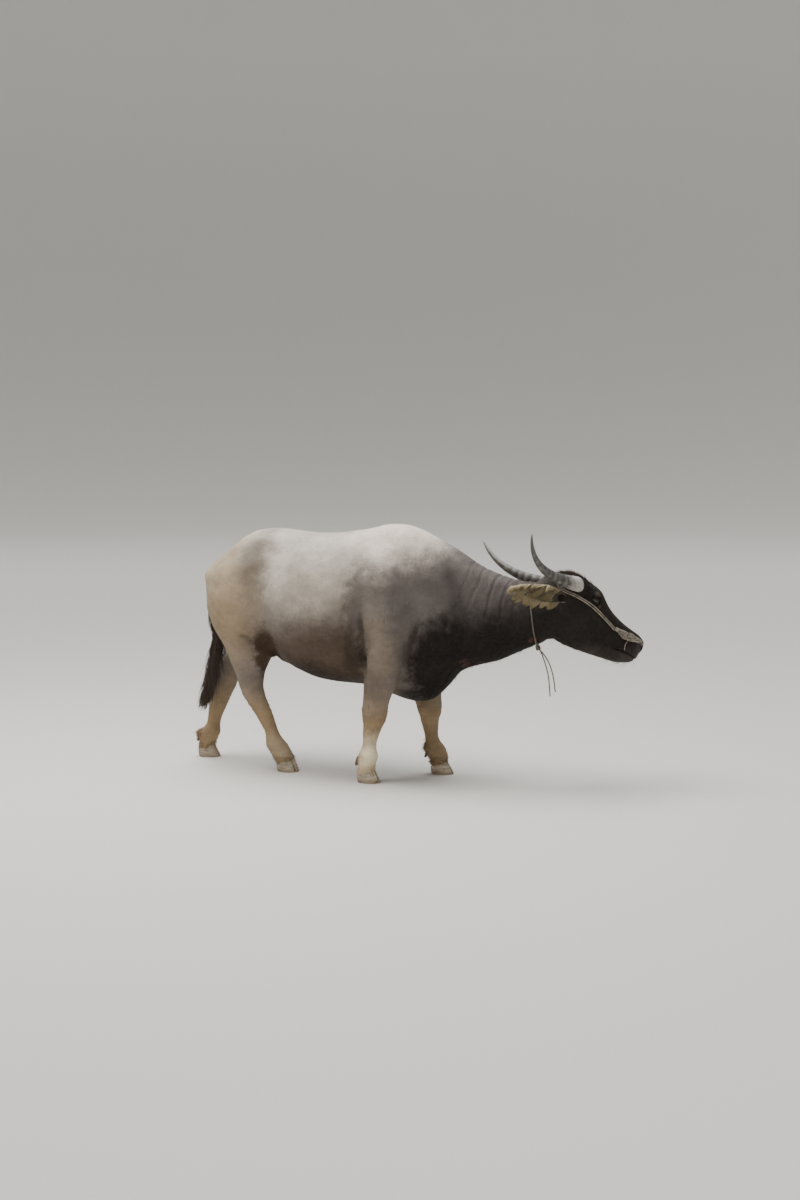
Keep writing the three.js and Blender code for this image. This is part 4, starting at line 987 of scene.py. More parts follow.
def makeEar(name, ear):
    bm = bmesh.new()
    bmesh.ops.create_grid(bm, x_segments=earSize["long"], y_segments=earSize["round"], size=1)
    grid = np.array([v.co for v in bm.verts])
    t = 0.5 + 0.5 * grid[:, 0]
    points = earSurface(ear, t, 0.985 * grid[:, 1])
    for vert, point in zip(bm.verts, fromHead(points)):
        vert.co = point
    bmesh.ops.recalc_face_normals(bm, faces=bm.faces)
    bmesh.ops.solidify(bm, geom=bm.faces[:], thickness=earSize["thick"])
    bmesh.ops.smooth_vert(bm, verts=bm.verts, factor=0.5, use_axis_x=True, use_axis_y=True, use_axis_z=True)
    return finishMesh(name, bm)


def joinTo(body, part, at, reach):
    # Fuses a part into the skin, marks its own surface and evens the joint out
    own = KDTree(len(part.data.vertices))
    for i, vert in enumerate(part.data.vertices):
        own.insert(vert.co, i)
    own.balance()
    fuse = body.modifiers.new("fuse", "BOOLEAN")
    fuse.operation = "UNION"
    fuse.solver = "MANIFOLD"
    fuse.object = part
    applied(body)
    bpy.data.objects.remove(part)
    points = readPoints(body.data)
    gap = size(points - at)
    marked = np.zeros(len(points), dtype=np.float32)
    if "ear" in body.data.attributes:
        body.data.attributes["ear"].data.foreach_get("value", marked)
        body.data.attributes.remove(body.data.attributes["ear"])
    for i in np.nonzero(gap < 0.5)[0]:
        if own.find(points[i])[2] < 1e-5:
            marked[i] = 1
    keepValues(body.data, "ear", marked)
    relax(body.data, bell(gap, reach), 5, 1.04)
    print("ear joined:", len(body.data.polygons), "faces")


# Materials

def stretch(position, factors):
    return vectorMaths("MULTIPLY", position, {1: factors})


def noise(position, scale, detail=3.0, rough=0.55, output="Fac"):
    inputs = {"Vector": position, "Scale": scale, "Detail": detail, "Roughness": rough}
    return position.node("TexNoise", inputs, output)


def remap(value, low, high, toLow=0.0, toHigh=1.0):
    inputs = {"Value": value, "From Min": low, "From Max": high, "To Min": toLow, "To Max": toHigh}
    return value.node("MapRange", inputs, "Result", interpolation_type="SMOOTHSTEP")


def softMark(position, at, reach, strength, low=0.45, high=1.35):
    # Strength in the middle of a soft oval mark, and none past its edge
    near = vectorMaths("DIVIDE", vectorMaths("SUBTRACT", position, {1: at}), {1: reach})
    span = near.node("VectorMath", {0: near}, "Value", operation="LENGTH")
    return remap(span, low, high, strength, 0.0)


def startGroup(name, inputs, outputs):
    group = bpy.data.node_groups.new(name, "ShaderNodeTree")
    for way, table in (("INPUT", inputs), ("OUTPUT", outputs)):
        for label, kind in table.items():
            group.interface.new_socket(name=label, in_out=way, socket_type="NodeSocket" + kind)
    entry = group.nodes.new("NodeGroupInput")
    return group, [Value(group, entry, label) for label in inputs]


def endGroup(group, outputs):
    leave = group.nodes.new("NodeGroupOutput")
    for label, value in outputs.items():
        group.links.new(value.socket, leave.inputs[label])
    return group


def placedGroup(position, group, output, **inputs):
    return position.node("Group", {"Position": position, **inputs}, output, node_tree=group)


# The hide's colours: a ground, and soft marks laid over it in turn; many marks are painted light and shade
# over the hide's own tones
hideGround = (0.205, 0.185, 0.172)
hideMarksAndLight = [
    ((-0.34, -0.06, 0.98), (0.4, 0.6, 0.28), (0.4, 0.355, 0.29), 0.85),  # paunch: paler hide with a painted highlight on its bulge
    ((-0.4, -0.06, 1.27), (0.95, 0.6, 0.26), (0.56, 0.515, 0.45), 0.95),  # back: pale dried mud with painted light from above
    ((0.09, -0.06, 1.23), (0.27, 0.55, 0.22), (0.78, 0.695, 0.6), 0.97),  # withers: pale dried mud with painted light from above
    ((-0.98, -0.06, 0.98), (0.34, 0.6, 0.46), (0.47, 0.395, 0.285), 0.97),  # rump: pale dried mud with painted light from above
    ((-0.8, -0.06, 0.8), (0.19, 0.6, 0.3), (0.31, 0.232, 0.145), 0.9),  # thigh
    ((-0.66, -0.06, 1.0), (0.09, 0.5, 0.26), (0.21, 0.175, 0.135), 0.62),  # painted shade in the hollow before the hip
    ((-0.55, -0.4, 1.02), (0.1, 0.25, 0.13), (0.52, 0.475, 0.41), 0.7),  # light on the last rib
    ((-0.55, 0.28, 1.02), (0.1, 0.25, 0.13), (0.52, 0.475, 0.41), 0.7),
    ((-0.606, -0.06, 0.61), (0.07, 0.5, 0.17), (0.034, 0.02, 0.01), 0.95, 0.6, 1.3),  # painted shade under the stifle
    ((-0.22, -0.06, 0.64), (0.5, 0.6, 0.24), (0.068, 0.042, 0.024), 0.88),  # low flank: darker hide with painted shade where the side turns under
    ((-0.36, -0.06, 0.45), (0.32, 0.6, 0.14), (0.018, 0.009, 0.005), 0.95),  # underline: dark hide with painted shade under the belly
    ((-0.62, -0.06, 0.66), (0.16, 0.11, 0.22), (0.14, 0.075, 0.05), 0.85),  # painted shade on the inside of the thighs
    ((-0.06, -0.06, 0.86), (0.08, 0.6, 0.28), (0.075, 0.062, 0.056), 0.72),  # painted shade in the hollow behind the shoulder
    ((0.21, -0.06, 0.9), (0.26, 0.6, 0.27), (0.105, 0.089, 0.08), 0.92),  # shoulder
    ((0.06, -0.06, 0.7), (0.1, 0.6, 0.2), (0.225, 0.185, 0.14), 0.92),  # upper arm
    ((0.66, 0.0, 0.98), (0.36, 0.45, 0.38), (0.098, 0.083, 0.077), 0.97),  # neck
    ((0.56, 0.0, 1.1), (0.24, 0.3, 0.13), (0.15, 0.132, 0.124), 0.75),  # nape: paler skin with painted light from above
    ((-0.085, -0.06, 0.63), (0.055, 0.6, 0.17), (0.036, 0.024, 0.015), 0.75),  # shade behind the elbow
    ((0.62, 0.0, 0.69), (0.36, 0.45, 0.21), (0.006, 0.004, 0.0025), 0.96),  # painted shade on the underside of the neck
    ((0.33, -0.06, 0.6), (0.18, 0.34, 0.28), (0.01, 0.007, 0.005), 0.98, 0.72, 1.18),  # brisket: dark hide with painted shade under the chest
    # lowest brisket: dark hide with painted shade
    ((0.24, -0.06, 0.46), (0.2, 0.16, 0.14), (0.008, 0.006, 0.004), 0.98),
    ((0.86, 0.07, 0.78), (0.18, 0.25, 0.24), (0.01, 0.0075, 0.0055), 0.95),  # throat: dark hide with painted shade under the jaw
    ((1.07, 0.2, 0.87), (0.36, 0.36, 0.38), (0.0165, 0.013, 0.01), 1.0),  # face
    ((1.05, 0.235, 0.9), (0.085, 0.055, 0.11), (0.06, 0.05, 0.042), 0.65),  # painted highlight on the bridge of the nose
    ((0.9, 0.12, 1.08), (0.09, 0.12, 0.07), (0.085, 0.062, 0.046), 0.85),  # poll: paler bare skin with painted light from above
    ((0.985, 0.245, 0.655), (0.05, 0.06, 0.035), (0.045, 0.036, 0.032), 0.5),  # chin
    ((0.775, -0.03, 0.745), (0.022, 0.03, 0.016), (0.12, 0.045, 0.036), 0.5),  # pink spot at the throat
    ((0.43, -0.11, 0.62), (0.03, 0.04, 0.014), (0.11, 0.045, 0.036), 0.45),  # pink spot at the chest
]
legColours = {"shin": (0.315, 0.225, 0.125), "foot": (0.36, 0.27, 0.165)}
legMarks = [
    ((0.04, -0.22, 0.09), (0.2, 0.16, 0.17), (0.9, 0.79, 0.56), 0.95),  # near shin in the sun
    ((-0.52, -0.3, 0.1), (0.2, 0.2, 0.1), (0.46, 0.37, 0.25), 0.7),  # near hind foot
]

# Painted light and shade round each eye, by their place in the head's own frame
eyeLightAndShade = [
    ((0.152, 0.103, -0.026), 0.017, (0.105, 0.088, 0.068), 0.8),  # painted highlight on the upper lid
    ((0.2, 0.095, -0.06), 0.009, (0.085, 0.072, 0.058), 0.7),  # painted highlight on the eye's front corner
    ((0.168, 0.1, -0.078), 0.013, (0.007, 0.005, 0.004), 0.8),  # painted shade in the hollow under the eye
]
eyeLightAndShadeMarks = [(tuple(fromHead(sided(at, side))), (reach,) * 3, tone, strength)
            for side in sides.values() for at, reach, tone, strength in eyeLightAndShade]
# Warps that make the marks' edges uneven: scale, detail, roughness and amount
hideWarps = [(4.0, 4.0, 0.6, 0.13), (17.0, 6.0, 0.72, 0.16)]
# Dried soil in broad patches, and short dark upright flecks on the flank, shoulder and neck
patchLook = {"scale": 7.0, "amount": 0.42, "colour": (0.45, 0.42, 0.4)}
fleckLook = {"scale": 95.0, "amount": 0.78, "colour": (0.06, 0.052, 0.052), "at": (-0.05, -0.06, 0.74),
             "reach": (0.62, 0.6, 0.42)}


def marked(position, colour, marks):
    for at, reach, tone, strength, *edge in marks:
        colour = blend(softMark(position, at, reach, strength, *edge), colour, tone)
    return colour


def markingsAndLightGroup():
    inputs = {"Position": "Vector", "Leg": "Float"}
    group, (position, leg) = startGroup("hideMarkingsAndLight", inputs, {"Colour": "Color"})
    warped = position
    for scale, detail, rough, amount in hideWarps:
        wander = noise(position, scale, detail, rough, "Color")
        centred = vectorMaths("SUBTRACT", wander, {1: (0.5, 0.5, 0.5)})
        warped = vectorMaths("ADD", warped, {1: vectorMaths("SCALE", centred, {"Scale": amount})})
    colour = marked(position, marked(warped, hideGround, hideMarksAndLight), eyeLightAndShadeMarks)
    # Legs grow pale towards the feet
    height = warped.node("SeparateXYZ", {0: warped}, "Z")
    colour = blend(remap(height, 0.56, 0.26) * leg * 0.95, colour, legColours["shin"])
    colour = blend(remap(height, 0.16, 0.06) * 0.55, colour, legColours["foot"])
    colour = marked(warped, colour, legMarks)
    patches = remap(noise(stretch(position, (1.0, 1.0, 1.6)), patchLook["scale"], 5.0, 0.62), 0.32, 0.7)
    colour = blend((1.0 - patches) * patchLook["amount"], colour, patchLook["colour"], "MULTIPLY")
    flecks = remap(noise(stretch(position, (1.0, 1.0, 0.16)), fleckLook["scale"], 3.0, 0.7), 0.6, 0.72)
    flecks = flecks * softMark(position, fleckLook["at"], fleckLook["reach"], 1.0)
    thin = remap(noise(position, 5.0, 2.0), 0.4, 0.6, 0.25, 1.0)
    colour = blend(flecks * (thin * fleckLook["amount"]), colour, fleckLook["colour"])
    return endGroup(group, {"Colour": colour})


# Grain of thick hide: cracks by scale, stretch and height, then long creases and pores
grainCells = [(85.0, (1.0, 1.0, 0.45), 0.3), (210.0, (1.0, 1.0, 0.7), 0.22)]
grainLook = {"bend": 0.045, "crack": 0.16, "creases": 0.7, "pores": 0.16}


def grainGroup():
    outputs = {"Height": "Float", "Cracks": "Float"}
    group, (position,) = startGroup("hideGrain", {"Position": "Vector"}, outputs)
    bend = position.node("TexNoise", {"Vector": position, "Scale": 9.0, "Detail": 2.0}, "Color")
    position = vectorMaths("ADD", position, {1: vectorMaths("SCALE", bend, {"Scale": grainLook["bend"]})})
    cells = []
    for scale, factors, _ in grainCells:
        inputs = {"Vector": stretch(position, factors), "Scale": scale}
        cell = position.node("TexVoronoi", inputs, "Distance", feature="DISTANCE_TO_EDGE")
        cells.append(remap(cell, 0.0, grainLook["crack"]))
    creases = noise(stretch(position, (1.0, 1.0, 0.22)), 30.0, 4.0, 0.6)
    pores = noise(position, 420.0, 2.0, 0.6)
    height = cells[0] * grainCells[0][2] + cells[1] * grainCells[1][2]
    height = height + creases * grainLook["creases"] + pores * grainLook["pores"]
    cracks = maths("SUBTRACT", 1.0, cells[0] * cells[1], clamp=True)
    return endGroup(group, {"Height": height, "Cracks": cracks})


markingsAndLight = markingsAndLightGroup()
grain = grainGroup()


def attribute(position, name):
    return position.node("Attribute", {}, "Fac", attribute_name=name)


def bump(shader, height, strength, distance):
    inputs = {"Height": height, "Strength": strength, "Distance": distance}
    feed(shader, "Normal", height.node("Bump", inputs))


def hideMaterial():
    material, shader, position = startMaterial("buffaloHide", 0.72, 0.2)
    colour = placedGroup(position, markingsAndLight, "Colour", Leg=attribute(position, "leg"))
    bare = remap(noise(position, 30.0), 0.3, 0.7, 0.75, 1.0) * attribute(position, "ear")
    colour = blend(bare, colour, (0.105, 0.085, 0.078))
    colour = blend(placedGroup(position, grain, "Cracks") * 0.16, colour, (0.4, 0.36, 0.35), "MULTIPLY")
    # Painted shade: the body's deep creases and the head's lip groove, nostrils and lid folds darkened
    # almost to black
    fold = maths("MAXIMUM", attribute(position, "crease"), attribute(position, "fold") * 0.75)
    colour = blend(maths("MULTIPLY", fold, 0.75, clamp=True), colour, (0.012, 0.009, 0.008))
    feed(shader, "Base Color", colour)
    shine = remap(noise(position, 60.0, 3.0), 0.3, 0.7, 0.64, 0.86)
    wet = attribute(position, "wet")
    feed(shader, "Roughness", wet.node("Mix", {0: wet, 2: shine, 3: 0.32}, data_type="FLOAT"))
    bump(shader, placedGroup(position, grain, "Height"), 0.6, 0.0034)
    return material


def coatMaterial(name, tint, tipLight):
    # Hairs take the hide's markings with their painted light and shade, each a little lighter or darker
    material, shader, position = startMaterial(name, 0.6, 0.14)
    colour = placedGroup(position, markingsAndLight, "Colour", Leg=attribute(position, "leg"))
    lighter = attribute(position, "tip") * tipLight + attribute(position, "tone") * 0.5
    darker = blend(1.0, colour, (0.62, 0.6, 0.58), "MULTIPLY")
    feed(shader, "Base Color", blend(lighter, darker, blend(1.0, colour, tint, "MULTIPLY")))
    return material


def hairMaterial(name, root, tip, odd):
    # Long hair in its own colours, from root to tip, with some odd strands
    material, shader, position = startMaterial(name, 0.5, 0.35)
    colour = blend(attribute(position, "tip"), root, tip)
    colour = blend(attribute(position, "tone") * 0.65, colour, odd)
    streaks = remap(noise(position, 160.0, 2.0), 0.35, 0.65, 0.0, 0.35)
    feed(shader, "Base Color", blend(streaks, colour, (0.4, 0.35, 0.3), "MULTIPLY"))
    return material


def hornMaterial(name, dark, pale, tip, baseWhite):
    # Mottled horn with dark grooves, a pale base and a dark tip
    material, shader, position = startMaterial(name, 0.48, 0.5)
    along = attribute(position, "along")
    mottle = noise(position, 38.0, 5.0, 0.65)
    colour = blend(remap(mottle, 0.35, 0.65), dark, pale)
    groove = (1.0 - attribute(position, "ridge")) * remap(along, 0.18, 0.34, 0.0, 0.8)
    colour = blend(groove * remap(along, 0.55, 0.85, 1.0, 0.15), colour, (0.022, 0.02, 0.018))
    white = remap(along, 0.3, 0.12) * baseWhite * remap(noise(position, 55.0, 4.0), 0.3, 0.6, 0.55, 1.0)
    colour = blend(white, colour, (0.44, 0.42, 0.38))
    colour = blend(remap(along, 0.62, 0.97, 0.0, 0.9), colour, tip)
    fibres = noise(position, 210.0, 4.0, 0.7)
    colour = blend(remap(fibres, 0.45, 0.75, 0.0, 0.3), colour, (0.05, 0.045, 0.04))
    feed(shader, "Base Color", colour)
    feed(shader, "Roughness", remap(along, 0.3, 1.0, 0.62, 0.34))
    bump(shader, fibres * 0.5 + mottle * 0.5, 0.45, 0.002)
    return material


def hoofMaterial():
    # Pale banded horn, soiled low down, with dark dewclaws above
    material, shader, position = startMaterial("hoofHorn", 0.62, 0.35)
    height = position.node("SeparateXYZ", {0: position}, "Z")
    bands = noise(stretch(position, (0.12, 0.12, 1.0)), 190.0, 3.0, 0.6)
    colour = blend(remap(bands, 0.35, 0.65), (0.24, 0.2, 0.145), (0.47, 0.41, 0.31))
    colour = blend(remap(height, 0.034, 0.002, 0.0, 0.75), colour, (0.2, 0.14, 0.09))
    streaks = noise(stretch(position, (1.0, 1.0, 0.15)), 140.0, 3.0)
    colour = blend(remap(streaks, 0.5, 0.75, 0.0, 0.45), colour, (0.13, 0.1, 0.075))
    colour = blend(remap(height, 0.075, 0.079, 0.0, 0.85), colour, (0.07, 0.052, 0.04))
    soil = noise(position, 42.0, 5.0, 0.7)
    colour = blend(remap(soil, 0.52, 0.7, 0.0, 0.65), colour, (0.3, 0.215, 0.14))
    feed(shader, "Base Color", colour)
    bump(shader, bands + soil * 0.6, 0.5, 0.0018)
    return material


def eyeMaterial():
    material, shader, position = startMaterial("wetEye", 0.1, 0.4)
    brown = blend(noise(position, 420.0, 3.0, 0.7), (0.008, 0.004, 0.002), (0.03, 0.014, 0.006))
    veins = remap(noise(position, 160.0, 4.0), 0.5, 0.7, 0.0, 0.6)
    white = blend(veins, (0.05, 0.034, 0.026), (0.03, 0.012, 0.008))
    colour = blend(attribute(position, "iris"), white, brown)
    feed(shader, "Base Color", blend(attribute(position, "pupil"), colour, (0.002, 0.002, 0.003)))
    shader.inputs["Coat Weight"].default_value = 0.25
    shader.inputs["Coat Roughness"].default_value = 0.03
    return material


def ropeMaterial(name, pale, dark):
    material, shader, position = startMaterial(name, 0.88, 0.2)
    fibres = noise(position, 900.0, 3.0, 0.7)
    colour = blend(remap(noise(position, 45.0, 4.0, 0.65), 0.42, 0.68), pale, dark)
    feed(shader, "Base Color", blend(remap(fibres, 0.4, 0.7, 0.0, 0.45), colour, (0.12, 0.09, 0.06)))
    bump(shader, fibres, 0.6, 0.0012)
    return material


# Ropes: twisted cord that lies on the hide

skinPlaces = [v.co for v in skin.data.vertices]
skinTree = BVHTree.FromPolygons(skinPlaces, [p.vertices for p in skin.data.polygons])
ropeForm = {"lobes": 0.17, "sides": 12, "pitch": 6.5, "slack": 1.03, "step": 0.85, "end": 0.35, "ball": 2}


def layOn(outer, inner, lift):
    # Where a line from outside to inside meets the skin, lifted off it
    outer, inner = Vector(outer), Vector(inner)
    towards = (inner - outer).normalized()
    hit, normal, _, _ = skinTree.ray_cast(outer - towards * 0.15, towards)
    return np.array(hit + normal * lift)


def layOnHead(outer, inner, lift):
    return layOn(fromHead(np.array(outer)), fromHead(np.array(inner)), lift)


def makeRope(name, routes, radius, knots=()):
    # One mesh of ropes, each along its own route, and the solid hearts of knots
    bm = bmesh.new()
    for points in routes:
        length = size(np.diff(points, axis=0)).sum() * ropeForm["slack"]
        count = max(8, int(length / (ropeForm["step"] * radius)))
        radii = np.full(count, radius)
        radii[0] = radii[-1] = ropeForm["end"] * radius
        twist = 2 * math.pi / 3 * (length / count) / (radius * ropeForm["pitch"] / 3)
        route = smoothRoute(points, count)
        sweep(bm, route, radii, ropeForm["sides"], (0.3, 0.2, 0.9), 1.0, twist, ropeForm["lobes"])
    for centre, reach in knots:
        ball(bm, centre, reach, detail=ropeForm["ball"])
    return finishMesh(name, bm)


def coilRound(a, b, reach, turns, lean=0.0, steps=14):
    # Turns of rope wound round the line from a to b
    axis = unit(b - a)
    first = unit(np.cross(axis, [0.31, 0.42, 0.85]))
    second = np.cross(axis, first)
    count = int(turns * steps)
    points = []
    for i in range(count + 1):
        angle = 2 * math.pi * i / steps
        ring = reach * (math.cos(angle) * first + math.sin(angle) * second)
        points.append(a + (b - a) * i / count + axis * lean * math.cos(angle) + ring)
    return np.array(points)


# Head cords: one side's places on the skull from the nose to the poll, and which way the pair lies apart
headCord = {"radius": 0.0029, "lift": 0.0032, "spacing": 0.0112, "core": (0.03, 0, -0.13)}
headCordRoute = [
    ((0.34, 0.076, -0.074), (0, 1)), ((0.268, 0.088, -0.077), (0, 1)), ((0.18, 0.098, -0.086), (0, 1)),
    ((0.12, 0.104, -0.097), (0, 1)), ((0.084, 0.106, -0.107), (0, 1)), ((0.056, 0.106, -0.117), (0, 1)),
    ((0.024, 0.106, -0.131), (0, 1)), ((-0.008, 0.104, -0.136), (0.4, 0.9)),
    ((-0.04, 0.088, -0.122), (0.8, 0.6)), ((-0.056, 0.06, -0.106), (0.8, 0.6)),
    ((-0.06, 0.032, -0.092), (0.8, 0.6)),
]


def headCordPoints(apart):
    shift = 0.5 * apart * headCord["spacing"]
    core, lift = headCord["core"], headCord["lift"]

    def half(side):
        found = []
        for (x, y, z), (wayX, wayZ) in headCordRoute:
            outer = (x + shift * wayX, side * y, z + shift * wayZ)
            found.append(layOnHead(outer, (max(outer[0], core[0]), 0, core[2]), lift))
        return found

    crown = layOnHead((-0.062 + 0.8 * shift, 0, -0.086 + 0.6 * shift), core, lift)
    return np.array(half(-1) + [crown] + half(1)[::-1])


# Nose knots: a wrapped lump, then a tangle of strands on to the nostril
noseKnot = {
    "radius": 0.0022, "start": (0.338, 0.076, -0.073), "end": (0.484, 0.062, -0.034), "strands": 9,
    "places": 9,
    "loops": (0.22, 0.45, 0.66, 0.86), "loopPlaces": 11, "wraps": (0.0, 0.36, 0.62), "wrapLong": 0.13,
}


def noseKnotRoutes(side):
    start, end = np.array(noseKnot["start"]), np.array(noseKnot["end"])
    routes = []

    def lay(x, y, z, lift, core=-0.1):
        return layOnHead((x, side * y, z), (x, 0, core), lift)

    for k in range(noseKnot["strands"]):
        places = []
        early, late = 0.1 * (k % 3), 1.0 - 0.07 * (k % 2)
        for i in range(noseKnot["places"]):
            t = early + (late - early) * i / (noseKnot["places"] - 1)
            sway = 0.025 * math.sin(math.pi * t) * math.sin(1.9 * k + (3.0 + 0.8 * (k % 4)) * t)
            x, y, z = start + (end - start) * t
            places.append(lay(x, y, z + sway, 0.003 + 0.008 * abs(math.sin(1.3 * k + 5.0 * t + 0.4))))
        if k < 3:
            # Strands that go into the nostril
            places.append(fromHead([0.498, side * (0.06 - 0.003 * k), -0.036 - 0.004 * k]))
            places.append(fromHead([0.497, side * 0.04, -0.04]))
        routes.append(np.array(places))
    # Loops that stand off the tangle, and an end that hangs from it
    for k, t in enumerate(noseKnot["loops"]):
        x, _, z = start + (end - start) * t
        loop = []
        for i in range(noseKnot["loopPlaces"]):
            angle = 2 * math.pi * i / (noseKnot["loopPlaces"] - 1)
            high = z + 0.01 * math.sin(angle) - 0.002 * (-1) ** k
            loop.append(lay(x + 0.013 * math.cos(angle), 0.07, high, 0.006 + 0.004 * math.sin(angle + k)))
        routes.append(np.array(loop))
    top, bend = lay(0.425, 0.07, -0.058, 0.009), lay(0.432, 0.07, -0.098, 0.006)
    tip = lay(0.446, 0.07, -0.118, 0.007, -0.12)
    routes.append(np.array([top, (top + bend) / 2 + 0.002, bend, tip]))
    # Turns wound round the strands
    for k, t in enumerate(noseKnot["wraps"]):
        here, there = (start + (end - start) * place for place in (t, t + noseKnot["wrapLong"]))
        ends = lay(*here, 0.0065), lay(there[0], there[1], there[2] + 0.003 * k, 0.0065)
        routes.append(coilRound(*ends, 0.0075 - 0.001 * k, 4 - k))
    return routes


# Neck cord: a loop round the neck, its knot at the throat, and two hanging ends
neckLoop = {"at": (0.747, 0.014, 0.858), "up": (-0.1, -0.04, 0.994), "across": (-0.3, 0.954, 0),
            "radius": 0.0036, "reach": 0.27, "places": 30, "slack": 0.009}
neckKnot = {"radius": 0.0038, "heart": (0.0065, 0.006, 0.0085),
            "coils": ((0.004, 2.6, 0.0088), (-0.004, 2.2, 0.0082))}
neckKnotAt = np.array(sum(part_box("neck_knot"), Vector((0, 0, 0))) / 2)
cordEnds = {
    "neck_cord_end_long": [
        (0.005, 0.004, -0.006), (0.02, 0.005, -0.034), (0.044, 0.003, -0.096), (0.058, 0, -0.15),
        (0.066, 0, -0.236)],
    "neck_cord_end_short": [
        (0.005, -0.006, -0.006), (0.032, -0.01, -0.026), (0.066, -0.014, -0.072), (0.088, -0.016, -0.134),
        (0.1, -0.016, -0.21)],
}
cordEndRadius = 0.0029


def neckCordPoints():
    at, up, across = (np.array(neckLoop[key]) for key in ("at", "up", "across"))
    count = neckLoop["places"]
    points = [neckKnotAt]
    for i in range(count):
        angle = math.pi * (-1 + 2 * (i + 0.5) / count)
        outer = at + neckLoop["reach"] * (up * math.cos(angle) + across * math.sin(angle))
        slack = neckLoop["slack"] * max(0, -math.cos(angle)) ** 3
        points.append(layOn(outer, at, neckLoop["radius"] + slack))
    return np.array(points + [neckKnotAt])


def neckKnotRoutes():
    ends = neckKnotAt + np.array([(-0.003, 0.001, 0.009), (0.004, -0.001, -0.009)])
    return [coilRound(*ends, reach, turns, lean) for lean, turns, reach in neckKnot["coils"]]


# Coat: tufts and locks of solid mesh over the skin

skinFaces = skin.data.polygons
centres, faceNormals = readAll(skinFaces, "center"), readAll(skinFaces, "normal")
faceAreas = readAll(skinFaces, "area", 1)
patchSize = 0.003
rng = np.random.default_rng(11)


def unwrapSkin(mesh):
    # Each face's place on an unwrap of the skin's own shape, for the coat's colour maps
    bpy.context.view_layer.objects.active = skin
    skin.select_set(True)
    bpy.ops.object.mode_set(mode="EDIT")
    bpy.ops.mesh.select_all(action="SELECT")
    bpy.ops.uv.smart_project(angle_limit=math.radians(66), island_margin=0.002)
    bpy.ops.object.mode_set(mode="OBJECT")
    starts = readAll(mesh.polygons, "loop_start", 1, np.int64)
    return readAll(mesh.uv_layers.active.data, "uv", 2)[starts]


atlas = unwrapSkin(skin.data)
print("skin unwrapped")


def scatter(share, count):
    # Random roots on the skin, as thick as share says
    weight = faceAreas * share
    picked = rng.choice(len(weight), size=count, p=weight / weight.sum())
    normals = faceNormals[picked]
    loose = rng.normal(size=(count, 3)) * (0.32 * np.sqrt(faceAreas[picked]))[:, None]
    loose -= normals * (loose * normals).sum(axis=1)[:, None]
    return picked, centres[picked] + loose, normals


def nearestPatch(points):
    # The unwrap's place of the skin face nearest to each point
    return np.array([atlas[skinTree.find_nearest(Vector(p))[2]] for p in points])


def lockFaces(steps, around):
    # One lock's faces: rings of sides that close in a point, and a base
    faces = []
    for i in range(steps):
        for j in range(around):
            a, b = i * around + j, i * around + (j + 1) % around
            faces.append((a, b, b + around, a + around) if i < steps - 1 else (a, b, steps * around))
    return faces + [tuple(range(around))[::-1]]


def lockRoutes(form, roots, normals, comb, length):
    # Middle lines of many locks, each with its width and tone
    count, t = len(roots), np.linspace(0, 1, form["steps"] + 1)
    comb = unit(comb + form.get("stray", 0.15) * rng.normal(size=comb.shape))
    length = np.broadcast_to(length, count) * rng.uniform(1 - form["vary"], 1 + form["vary"], count)
    width = form["width"] * rng.uniform(0.7, 1.3, count)
    lift = form["lift"] * rng.uniform(0.5, 1.4, count)
    start = unit(comb + normals * lift[:, None])
    sway = unit(np.cross(comb, normals))
    curl = form.get("curl", 0.0) * rng.normal(size=count)
    bend = form.get("bend", 0.6)
    travel = start[:, None] * t[None, :, None] * (1 - 0.5 * t[None, :, None] * bend)
    travel = travel + comb[:, None] * (0.5 * bend * t ** 2)[None, :, None]
    travel = travel + np.array((0, 0, -1.0)) * (form.get("droop", 0.0) * t ** 2)[None, :, None]
    travel = travel + sway[:, None] * (curl[:, None] * np.sin(t[None] * 3.0))[:, :, None]
    lines = roots[:, None] - normals[:, None] * form.get("sink", 0.002) + travel * length[:, None, None]
    tone = rng.uniform(0, 1, count)
    if form.get("clumps"):
        # Locks lean together towards the middle one of their clump
        seeds = rng.choice(count, form["clumps"] * 3, replace=False)
        own = size(roots[:, None] - roots[seeds][None]).argmin(axis=1)
        pull = form["gather"] * (t ** 1.1)[None, :, None]
        stretched = rng.uniform(0.72, 1.15, len(seeds))[own][:, None, None]
        lines = roots[:, None] + (lines - roots[:, None]) * stretched
        middle = lines[seeds][own]
        lines = lines * (1 - pull) + (middle + 0.25 * (lines - middle)) * pull
        tone = 0.45 * tone + 0.55 * rng.uniform(0, 1, len(seeds))[own]
    return lines, width, tone


